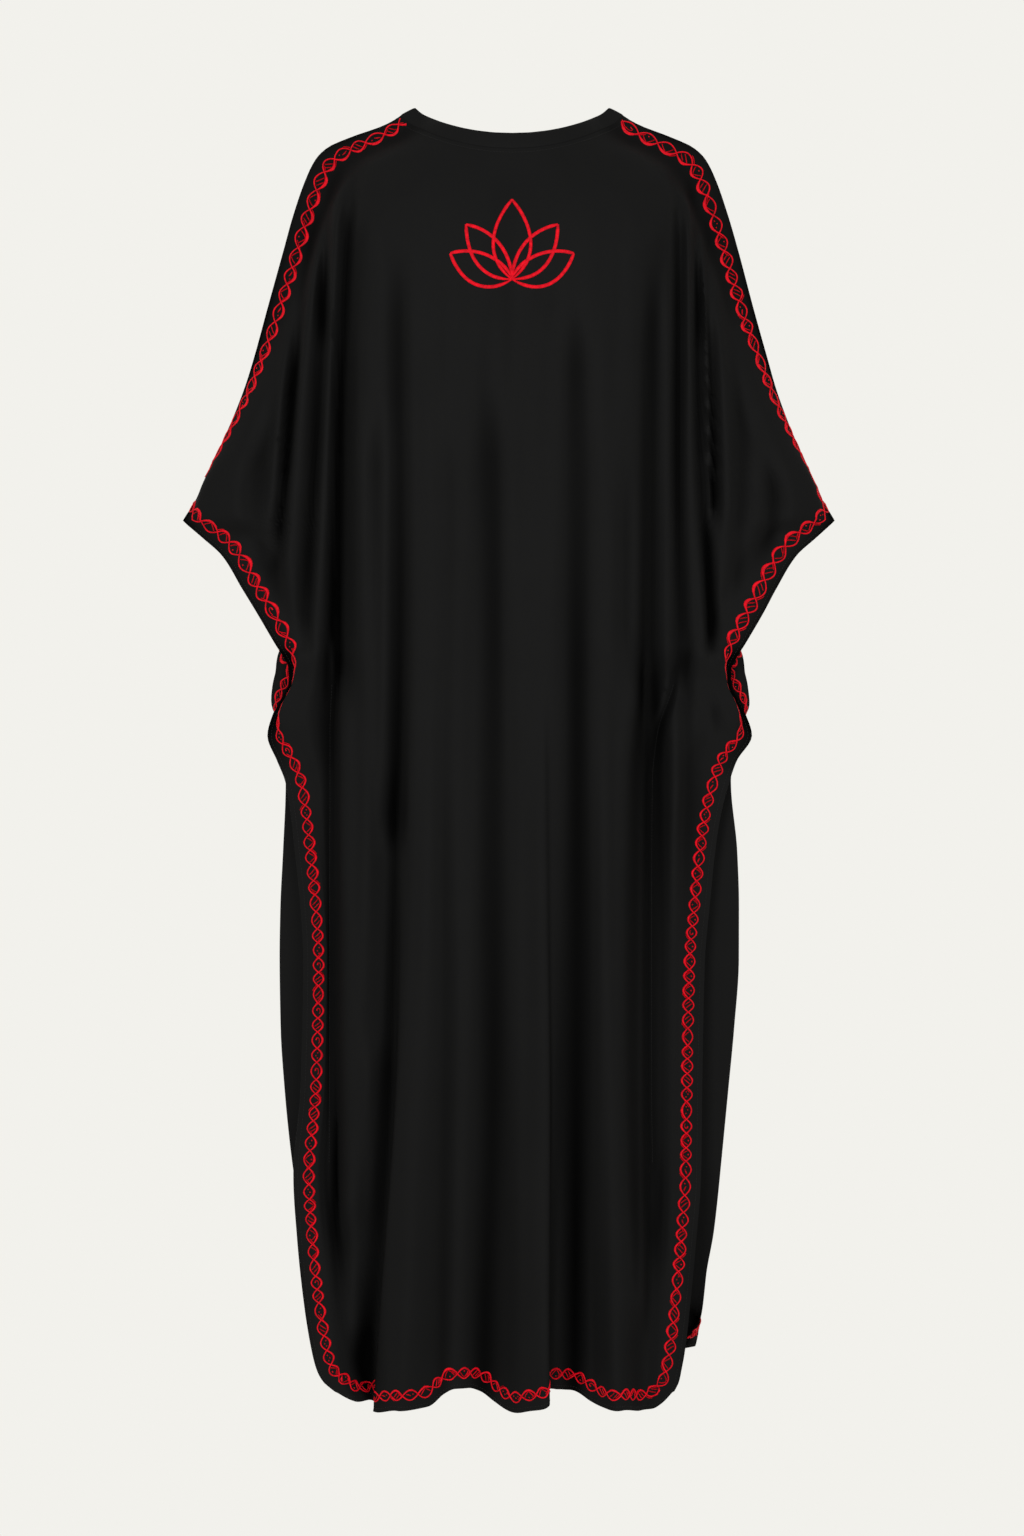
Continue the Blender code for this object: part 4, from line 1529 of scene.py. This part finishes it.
@dataclass
class FlowerOutline:
    """A flower of five pointed petals in satin stitch, seen from the side.

    half is half of the stroke's width. It is reached at the share start of a petal's side, and it falls
    off again from the share end to the tip.
    """

    sheet: Sheet
    half: float = 1.8
    points: int = 60
    start: float = 0.2
    base_taper: float = 0.45
    end: float = 0.94
    tip_taper: float = 0.25

    def stitch(self, outline: Embroidery) -> None:
        """Adds the petals' outlines, the middle petal above the others.

        Args:
            outline: The piece that the strokes are added to.
        """
        strip = FlowerGround(self.sheet)
        for petal in PETALS:
            for flip in ((1.0,) if petal.tip[0] == 0 else (-1.0, 1.0)):
                for handles in (petal.outer, petal.inner):
                    line = ((0.0, 0.0), *handles, petal.tip)
                    a, b = bezier(tuple((flip * x, z) for x, z in line), self.points)
                    share = np.linspace(0.0, 1.0, self.points)
                    half = self.half * (1 - self.base_taper * (1 - ease(share / self.start)))
                    half = half * (1 - self.tip_taper * ease((share - self.end) / (1 - self.end)))
                    outline.stroke(strip, a, b, half, THREAD_RISE, petal.order)


@dataclass
class NeckBand:
    """One narrow band that stands on both panels' neck edges, folded double over its top.

    It leans inwards by its angle in degrees. rows are shares of its height from the seam up, and crown is
    how far it swells out at each of them.
    """

    back: Sheet
    front: Sheet
    height: float = 18.0
    lean: float = 12.0
    lean_at_shoulder: float = 62.0
    rows: tuple[float, ...] = (0.0, 0.06, 0.16, 0.35, 0.6, 0.82, 0.94, 1.0)
    crown: tuple[float, ...] = (0.0, 0.45, 0.7, 0.8, 0.8, 0.7, 0.45, 0.0)
    crown_inside: float = 0.3

    def seam(self) -> np.ndarray:
        """Both panels' neck edges as one ring of points.

        Returns:
            The ring's points, in millimetres.
        """
        back, front = self.back.outer[0], self.front.outer[0]
        left, right = (back[0] + front[0]) / 2, (back[-1] + front[-1]) / 2
        return np.concatenate([back[1:-1], [right], front[-2:0:-1], [left]])

    def build(self, finish: bpy.types.Material) -> bpy.types.Object:
        """Makes the band's closed wall.

        Args:
            finish: The band's material.

        Returns:
            The band.
        """
        seam = self.seam()
        middle = seam[:, 1].max() / 2 + seam[:, 1].min() / 2
        inward = unit(([0.0, middle, 0.0] - seam) * [1.0, 1.0, 0.0])
        share = np.abs(seam[:, 0:1]) / np.abs(seam[:, 0]).max()
        lean = np.radians(self.lean + (self.lean_at_shoulder - self.lean) * share ** 2)
        up = np.array([0.0, 0.0, 1.0])
        rise = inward * np.sin(lean) + up * np.cos(lean)
        outward = unit(np.cos(lean) * -inward + np.sin(lean) * up)
        outer, inner = [], []
        for height, crown in zip(self.rows[::-1], self.crown[::-1]):
            base = seam + rise * (SEAM_GAP + (self.height - SEAM_GAP) * height)
            outer.append(base + outward * crown)
            inner.append(base - outward * (CLOTH_WALL + self.crown_inside * crown))
        return cloth_object("neck_band_cloth", np.array(outer), np.array(inner), finish, closed=True)


@dataclass(frozen=True)
class NodeMaker:
    """Adds nodes to one tree."""

    tree: bpy.types.NodeTree

    def add(self, kind: str, settings: dict | None = None, links: dict | None = None) -> bpy.types.Node:
        """Adds a node with its settings and links.

        Args:
            kind: The node's type.
            settings: Values by property name, or by socket name.
            links: Output sockets by the name or number of the input that they feed.

        Returns:
            The node.
        """
        node = self.tree.nodes.new(kind)
        for name, value in (settings or {}).items():
            if isinstance(name, str) and name in node.bl_rna.properties:
                setattr(node, name, value)
            else:
                node.inputs[name].default_value = value
        self.feed(node, links or {})
        return node

    def feed(self, node: bpy.types.Node, links: dict) -> None:
        """Links output sockets to a node's inputs, by the inputs' names or numbers."""
        for name, socket in links.items():
            self.tree.links.new(socket, node.inputs[name])

    def noise(self, scale: float, detail: float, **settings: float) -> bpy.types.NodeSocket:
        """Noise that stays with the piece.

        Args:
            scale: The noise's scale.
            detail: How many finer layers it has.
            settings: Other values by socket name.

        Returns:
            The output socket.
        """
        place = self.add("ShaderNodeTexCoord")
        node = self.add("ShaderNodeTexNoise", {"Scale": scale, "Detail": detail, **settings},
                        {"Vector": place.outputs["Object"]})
        return node.outputs["Fac"]

    def bands(self, way: str, period: float, vector: bpy.types.NodeSocket,
              settings: dict | None = None) -> bpy.types.NodeSocket:
        """Parallel waves of the wave texture.

        Args:
            way: X or Y, the way across the bands.
            period: The bands' distance.
            vector: The coordinates to read.
            settings: Other values by socket name.

        Returns:
            The output socket.
        """
        scale = 2 * math.pi / WAVE_TURN / (period * MM)
        node = self.add("ShaderNodeTexWave", {"bands_direction": way, "Scale": scale, **(settings or {})},
                        {"Vector": vector})
        return node.outputs["Fac"]

    def fitted(self, value: bpy.types.NodeSocket, limits: dict[str, float]) -> bpy.types.NodeSocket:
        """A value mapped from one range onto another, by the names of the node's limits."""
        return self.add("ShaderNodeMapRange", limits, {"Value": value}).outputs["Result"]

    def mixed(self, share: bpy.types.NodeSocket,
              *colours: str | bpy.types.NodeSocket) -> bpy.types.NodeSocket:
        """Mixes two colours, each given as a hex code or an output socket.

        Args:
            share: How much of the second colour there is.
            colours: The two colours.

        Returns:
            The output socket.
        """
        node = self.add("ShaderNodeMix", {"data_type": "RGBA"}, {"Factor": share})
        for number, colour in zip(MIX_COLOURS, colours):
            if isinstance(colour, str):
                node.inputs[number].default_value = linear(colour)
            else:
                self.feed(node, {number: colour})
        return node.outputs[MIX_RESULT]

    def bump(self, strength: float, depth: float, height: bpy.types.NodeSocket,
             below: dict | None = None) -> bpy.types.NodeSocket:
        """Relief on top of any relief below it.

        Args:
            strength: How strongly it shows.
            depth: Its depth, in millimetres.
            height: The heights.
            below: The normal of the relief below it.

        Returns:
            The output socket.
        """
        node = self.add("ShaderNodeBump", {"Strength": strength, "Distance": depth * MM},
                        {"Height": height, **(below or {})})
        return node.outputs["Normal"]


def start_material(name: str, kind: str = "ShaderNodeBsdfPrincipled") -> tuple:
    """Makes a material with one shader.

    Args:
        name: The material's name.
        kind: The shader's type.

    Returns:
        The material, its node maker and the shader.
    """
    material = bpy.data.materials.new(name)
    material.use_nodes = True
    material.node_tree.nodes.clear()
    maker = NodeMaker(material.node_tree)
    shader = maker.add(kind)
    maker.add("ShaderNodeOutputMaterial", links={"Surface": shader.outputs[0]})
    return material, maker, shader


@dataclass(frozen=True)
class CrepeFinish:
    """Black crepe: a matt cloth of tightly twisted yarn with a pebbled face.

    The bottoms of its folds carry painted shade: there the colour sinks to the painted shade colour and the
    gloss falls to nothing, so that they read as full black.
    """

    name: str
    colour: str
    light_colour: str
    painted_shade_colour: str
    gloss: float = 0.03
    pebble: float = 1.6
    yarn: float = 0.9
    roughness: tuple[float, float] = (0.62, 0.78)

    def material(self) -> bpy.types.Material:
        """Makes the material. The yarn is drawn three times too coarse, so that it shows at all.

        Returns:
            The material.
        """
        material, maker, shader = start_material(self.name)
        flat = maker.add("ShaderNodeUVMap", {"uv_map": "flat"}).outputs["UV"]
        # The fold_shade attribute, which says where shade is painted into the folds
        depth = maker.add("ShaderNodeAttribute", {"attribute_name": FOLD_SHADE}).outputs["Fac"]
        cloud = maker.noise(scale=9.0, detail=3.0, Roughness=0.6)
        pebble = maker.noise(scale=1 / (self.pebble * MM), detail=2.0)
        yarns = maker.add("ShaderNodeMath", {"operation": "MULTIPLY"},
                          {0: maker.bands("X", self.yarn, flat), 1: maker.bands("Y", self.yarn, flat)})
        tone = maker.fitted(cloud, {"From Min": 0.3, "From Max": 0.7})
        colour = maker.mixed(tone, self.colour, self.light_colour)
        pebbled = maker.bump(strength=0.35, depth=0.25, height=pebble)
        # Painted shade: the colour sinks to the painted shade colour and the gloss to 0 where the fold
        # shade is full
        maker.feed(shader, {
            "Base Color": maker.mixed(depth, colour, self.painted_shade_colour),
            "Specular IOR Level": maker.fitted(depth, {"To Min": self.gloss, "To Max": 0.0}),
            "Roughness": maker.fitted(pebble, dict(zip(("To Min", "To Max"), self.roughness))),
            "Normal": maker.bump(strength=0.3, depth=0.15, height=yarns.outputs["Value"],
                                 below={"Normal": pebbled})})
        return material


@dataclass(frozen=True)
class RayonFinish:
    """Red rayon embroidery thread laid side by side: glossy across the stroke, with darker grooves."""

    name: str
    dark: str
    light: str
    stitch: float = 0.55
    slant: float = 0.35
    groove: float = 0.45
    roughness: float = 0.45
    gloss: float = 0.06

    def material(self) -> bpy.types.Material:
        """Makes the material from the stroke's own flat coordinates.

        Returns:
            The material.
        """
        material, maker, shader = start_material(self.name)
        flat = maker.add("ShaderNodeUVMap", {"uv_map": "flat"}).outputs["UV"]
        turned = maker.add("ShaderNodeMapping", {"Rotation": (0.0, 0.0, self.slant)}, {"Vector": flat})
        threads = maker.bands("X", self.stitch, turned.outputs["Vector"],
                              {"Distortion": 0.6, "Detail Scale": 2.0})
        tone = maker.add("ShaderNodeMath", {"operation": "MULTIPLY_ADD", 1: self.groove},
                         {0: threads, 2: maker.noise(scale=260.0, detail=2.0)})
        share = maker.fitted(tone.outputs["Value"], {"From Min": 0.35, "From Max": 1.05})
        maker.feed(shader, {"Base Color": maker.mixed(share, self.dark, self.light),
                            "Normal": maker.bump(strength=0.5, depth=0.2, height=threads)})
        shader.inputs["Roughness"].default_value = self.roughness
        shader.inputs["Specular IOR Level"].default_value = self.gloss
        return material


@dataclass(frozen=True)
class SewingThreadFinish:
    """Black polyester sewing thread: finer and a little glossier than the cloth."""

    name: str
    colour: str
    gloss: float = 0.15
    roughness: tuple[float, float] = (0.4, 0.6)

    def material(self) -> bpy.types.Material:
        """Makes the material.

        Returns:
            The material.
        """
        material, maker, shader = start_material(self.name)
        twist = maker.noise(scale=2500.0, detail=1.0)
        rough = maker.fitted(twist, dict(zip(("To Min", "To Max"), self.roughness)))
        maker.feed(shader, {"Roughness": rough})
        shader.inputs["Base Color"].default_value = linear(self.colour)
        shader.inputs["Specular IOR Level"].default_value = self.gloss
        return material


@dataclass(frozen=True)
class PaperFinish:
    """Seamless cream paper, lit so evenly that it shows no shade."""

    name: str
    colour: str

    def material(self) -> bpy.types.Material:
        """Makes the material.

        Returns:
            The material.
        """
        material, _, glow = start_material(self.name, "ShaderNodeEmission")
        glow.inputs["Color"].default_value = linear(self.colour)
        return material


@dataclass
class StitchLine:
    """A row of sewing stitches along a line, made by Geometry Nodes, with its sizes in millimetres."""

    name: str
    length: float = 2.6
    gap: float = 0.7
    thick: float = 0.45

    def tree(self, finish: bpy.types.Material) -> bpy.types.NodeTree:
        """Builds the node tree that sets a stitch at each step along the line.

        Args:
            finish: The thread's material.

        Returns:
            The tree, with its sizes as named inputs.
        """
        tree = bpy.data.node_groups.new(self.name, "GeometryNodeTree")
        face = tree.interface
        face.new_socket("Line", in_out="INPUT", socket_type="NodeSocketGeometry")
        for label in ("Pitch", "Stitch length", "Thread width"):
            face.new_socket(label, in_out="INPUT", socket_type="NodeSocketFloat")
        face.new_socket("Stitches", in_out="OUTPUT", socket_type="NodeSocketGeometry")
        maker = NodeMaker(tree)
        given = maker.add("NodeGroupInput")
        curve = maker.add("GeometryNodeMeshToCurve", links={"Mesh": given.outputs["Line"]})
        spaced = maker.add("GeometryNodeResampleCurve", {"mode": "LENGTH"},
                           {"Curve": curve.outputs["Curve"], "Length": given.outputs["Pitch"]})
        # A bead of diameter 1, so that its scale is the stitch's size
        bead = maker.add("GeometryNodeMeshIcoSphere", {"Radius": 0.5, "Subdivisions": 1})
        size = maker.add("ShaderNodeCombineXYZ", links={
            "X": given.outputs["Stitch length"], "Y": given.outputs["Thread width"],
            "Z": given.outputs["Thread width"]})
        tangent = maker.add("GeometryNodeInputTangent")
        up = maker.add("GeometryNodeInputNamedAttribute", {"data_type": "FLOAT_VECTOR", "Name": "up"})
        turn = maker.add("FunctionNodeAlignRotationToVector", {"axis": "X"},
                         {"Vector": tangent.outputs["Tangent"]})
        stand = maker.add("FunctionNodeAlignRotationToVector", {"axis": "Z", "pivot_axis": "X"},
                          {"Rotation": turn.outputs["Rotation"], "Vector": up.outputs["Attribute"]})
        rows = maker.add("GeometryNodeInstanceOnPoints", links={
            "Points": spaced.outputs["Curve"], "Instance": bead.outputs["Mesh"],
            "Rotation": stand.outputs["Rotation"], "Scale": size.outputs["Vector"]})
        real = maker.add("GeometryNodeRealizeInstances", links={"Geometry": rows.outputs["Instances"]})
        shaded = maker.add("GeometryNodeSetMaterial", {"Material": finish},
                           {"Geometry": real.outputs["Geometry"]})
        maker.add("NodeGroupOutput", links={"Stitches": shaded.outputs["Geometry"]})
        return tree

    def build(self, lines: list[tuple[np.ndarray, np.ndarray]],
              finish: bpy.types.Material) -> bpy.types.Object:
        """Lays stitches along lines.

        Args:
            lines: Points and outward normals of each line, in millimetres.
            finish: The thread's material.

        Returns:
            The stitches as one plain mesh.
        """
        points, normals, edges = [], [], []
        for line, up in lines:
            start = sum(len(part) for part in points)
            edges += [(start + i, start + i + 1) for i in range(len(line) - 1)]
            points.append(line)
            normals.append(up)
        mesh = bpy.data.meshes.new(self.name + "_line")
        mesh.from_pydata((np.concatenate(points) * MM).tolist(), edges, [])
        layer = mesh.attributes.new("up", "FLOAT_VECTOR", "POINT")
        layer.data.foreach_set("vector", np.concatenate(normals).astype(np.float32).ravel())
        holder = add_object(self.name + "_line", mesh)
        modifier = holder.modifiers.new("stitches", "NODES")
        modifier.node_group = self.tree(finish)
        sizes = {"Pitch": self.length + self.gap, "Stitch length": self.length, "Thread width": self.thick}
        for item in modifier.node_group.interface.items_tree:
            if item.name in sizes:
                modifier[item.identifier] = sizes[item.name] * MM
        graph = bpy.context.evaluated_depsgraph_get()
        made = bpy.data.meshes.new_from_object(holder.evaluated_get(graph))
        bpy.data.objects.remove(holder, do_unlink=True)
        made.name = self.name
        made.shade_smooth()
        return add_object(self.name, made)


@dataclass
class Kaftan:
    """The whole garment: both panels, the neck band, the embroidery and the sewing.

    tip_clearances are what the border leaves free on each arm before the sleeve tip, in millimetres. The
    place steps and the stitch sizes are in points of the cloth's grid, and sewing_rise in millimetres.
    """

    back: Sheet
    front: Sheet
    border_seed: int = 11
    tip_clearances: tuple[float, float] = (78.0, 45.0)
    arm_place_step: float = 0.25
    hem_place_step: float = 0.5
    corner_reach: float = 12.0
    arm_reach: float = 5.0
    sewing_step: float = 0.5
    band_stitch_row: float = 0.7
    edge_stitch_margin: float = 2.6
    edge_stitch_start: int = 2
    sewing_rise: float = 0.12

    def edge_places(self, sheet: Sheet) -> list[tuple[np.ndarray, np.ndarray]]:
        """The three stretches of a panel's edge that carry the border, all in one sense round it.

        Args:
            sheet: The panel's cloth.

        Returns:
            The columns and rows of each stretch.
        """
        rows, columns = sheet.outer.shape[:2]
        tip = sheet.cut.row_at(TIP_HEIGHT)
        reach = along(sheet.outer[:tip + 1, 0])
        stops = [int(np.searchsorted(reach, reach[-1] - clearance)) for clearance in self.tip_clearances]
        left_arm, right_arm = (np.arange(0, stop + TINY, self.arm_place_step) for stop in stops)
        down = np.arange(tip, rows - 1, self.arm_place_step)
        hem = np.arange(0, columns - 1 + TINY, self.hem_place_step)
        left = (np.zeros_like(left_arm), left_arm)
        right = (np.full_like(right_arm, columns - 1.0), right_arm[::-1])
        return [left, self.round_hem(down, hem, 0.0, columns - 1.0, rows - 1.0), right]

    @staticmethod
    def round_hem(down: np.ndarray, hem: np.ndarray, left: float, right: float,
                  low: float) -> tuple[np.ndarray, np.ndarray]:
        """A line down one side, along the hem and up the other side.

        Args:
            down: Rows of the places on each side, from the top down.
            hem: Columns of the places on the hem.
            left: The column of the left side.
            right: The column of the right side.
            low: The row of the hem.

        Returns:
            The line's columns and rows.
        """
        u = np.concatenate([np.full(len(down), left), hem, np.full(len(down), right)])
        v = np.concatenate([down, np.full(len(hem), low), down[::-1]])
        return u, v

    def border(self, sheet: Sheet, finish: bpy.types.Material) -> bpy.types.Object:
        """Stitches a panel's border.

        Args:
            sheet: The panel's cloth.
            finish: The thread's material.

        Returns:
            The border.
        """
        border = Embroidery(sheet)
        for i, (u, v) in enumerate(self.edge_places(sheet)):
            on_arm = i != 1
            strip = Ribbon(sheet, u, v, self.arm_reach if on_arm else self.corner_reach)
            TwistedBorder(strip, self.border_seed + i + sheet.cut.facing, on_arm).stitch(border)
        return border.build(sheet.cut.label + "_border", finish)

    def flower(self, finish: bpy.types.Material) -> bpy.types.Object:
        """Stitches the flower on the back.

        Args:
            finish: The thread's material.

        Returns:
            The flower's outline.
        """
        outline = Embroidery(self.back)
        FlowerOutline(self.back).stitch(outline)
        return outline.build("flower_outline", finish)

    def sewing(self, sheet: Sheet, finish: bpy.types.Material) -> bpy.types.Object:
        """Lays the black stitching: under the neck band, along the free edges and down the side seams.

        Args:
            sheet: The panel's cloth.
            finish: The thread's material.

        Returns:
            The stitches of one panel.
        """
        rows, columns = sheet.outer.shape[:2]
        cut = sheet.cut
        neck = np.arange(1, columns - 1, self.sewing_step)
        top, low = cut.row_at(TIP_HEIGHT) + self.edge_stitch_start, rows - self.edge_stitch_start
        down = np.arange(top, low, self.sewing_step)
        margin, far_margin = self.edge_stitch_margin, columns - 1 - self.edge_stitch_margin
        hem = np.arange(margin, far_margin, self.sewing_step)
        seam = np.arange(cut.row_at(UNDERARM_HEIGHT), cut.row_at(SEAM_END_HEIGHT), self.sewing_step)
        side = sum(STATION_COLUMNS[:4])
        lines = [(neck, np.full_like(neck, self.band_stitch_row)),
                 self.round_hem(down, hem, margin, far_margin, low)]
        lines += [(np.full_like(seam, float(place)), seam) for place in (side, columns - 1 - side)]
        laid = []
        for u, v in lines:
            normals = sheet.normal(u, v)
            laid.append((sheet.point(u, v) + self.sewing_rise * normals, normals))
        return StitchLine(cut.label + "_stitching").build(laid, finish)

    def build(self) -> None:
        """Makes, dresses and declares every piece."""
        # 030303 is the painted shade at the bottoms of the folds
        crepe = CrepeFinish("black_crepe", colour="#0d0d0d", light_colour="#0e0e0e", painted_shade_colour="#030303")
        cloth = crepe.material()
        rayon = RayonFinish("red_rayon_thread", dark="#7a020e", light="#c80518").material()
        thread = SewingThreadFinish("black_sewing_thread", colour="#161616").material()
        band = NeckBand(self.back, self.front).build(cloth)
        back = cloth_object("back_panel_cloth", self.back.outer, self.back.inner, cloth,
                            self.back.shade())
        front = cloth_object("front_panel_cloth", self.front.outer[:, ::-1], self.front.inner[:, ::-1],
                             cloth, self.front.shade()[:, ::-1])
        on_back = [self.border(self.back, rayon), self.flower(rayon)]
        on_front = [self.border(self.front, rayon)]
        on_back.append(self.sewing(self.back, thread))
        on_front.append(self.sewing(self.front, thread))
        for piece in [band, back, front, *on_back, *on_front]:
            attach(piece, "root")
            LOG.info("%s: %d faces", piece.name, len(piece.data.polygons))
        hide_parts("neck_band")
        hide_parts("back_panel")
        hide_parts("front_panel")


@dataclass
class Studio:
    """A camera square behind the garment, cream paper all round and soft lights, in metres.

    view_height is how much of the picture's plane the camera sees at view_distance, and sensor the height
    of its sensor in millimetres.
    """

    paper: str = "#f2f1ec"
    camera_distance: float = 3.125
    camera_height: float = -0.7185
    view_height: float = 1.6128
    view_distance: float = 3.0
    sensor: float = 24.0
    floor_height: float = -1.52
    floor_radius: float = 14.0
    floor_corners: int = 96
    aim_height: float = -0.6

    def camera(self) -> None:
        """Sets the camera at the photograph's viewing angle."""
        data = bpy.data.cameras.new("camera")
        data.sensor_fit = "VERTICAL"
        data.sensor_height = self.sensor
        data.lens = self.sensor * self.view_distance / self.view_height
        data.clip_end = 100.0
        camera = add_object("camera", data)
        camera.location = (0.0, -self.camera_distance, self.camera_height)
        camera.rotation_euler = (math.pi / 2, 0.0, 0.0)
        bpy.context.scene.camera = camera

    def light(self, name: str, place: tuple, size: float, power: float) -> None:
        """Adds one soft square light that faces the garment's middle.

        Args:
            name: The lamp's name.
            place: Its place, in metres.
            size: The length of its sides, in metres.
            power: Its power, in watts.
        """
        data = bpy.data.lights.new(name, "AREA")
        data.shape = "SQUARE"
        data.size = size
        data.energy = power
        lamp = add_object(name, data)
        lamp.location = place
        aim = np.array([0.0, 0.0, self.aim_height]) - np.array(place)
        flat = math.hypot(aim[0], aim[1])
        lamp.rotation_euler = (math.pi / 2 + math.atan2(aim[2], flat), 0.0, math.atan2(-aim[0], aim[1]))

    def surroundings(self) -> None:
        """Sets the cream world and the floor."""
        world = bpy.data.worlds.new("cream studio")
        world.use_nodes = True
        world.node_tree.nodes["Background"].inputs["Color"].default_value = linear(self.paper)
        world.node_tree.nodes["Background"].inputs["Strength"].default_value = 1.0
        bpy.context.scene.world = world
        angles = np.linspace(0.0, 2 * math.pi, self.floor_corners, endpoint=False)
        x, y = self.floor_radius * np.cos(angles), self.floor_radius * np.sin(angles)
        points = np.stack([x, y, np.full(self.floor_corners, self.floor_height)], axis=1)
        floor = make_object("floor", points / MM, [tuple(range(self.floor_corners))],
                            PaperFinish("cream_paper", self.paper).material())

    def build(self) -> None:
        """Makes the whole studio."""
        self.camera()
        self.surroundings()
        bpy.context.scene.view_settings.view_transform = "Standard"
        self.light("key", place=(-1.2, -4.2, 0.2), size=1.2, power=146.0)
        self.light("fill", place=(1.6, -4.0, -0.3), size=2.0, power=76.0)


def main() -> None:
    """Builds the garment and the studio, and logs the CAD parts' names and each piece's number of faces."""
    logging.basicConfig(level=logging.INFO, format="%(name)s: %(message)s")
    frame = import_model()
    LOG.info("CAD nodes: %s", ", ".join(sorted(frame["nodes"])))
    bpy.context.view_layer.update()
    Studio().build()
    back, front = Sheet(BACK), Sheet(FRONT)
    join_arms(back, front)
    Kaftan(back, front).build()


if __name__ == "__main__":
    main()
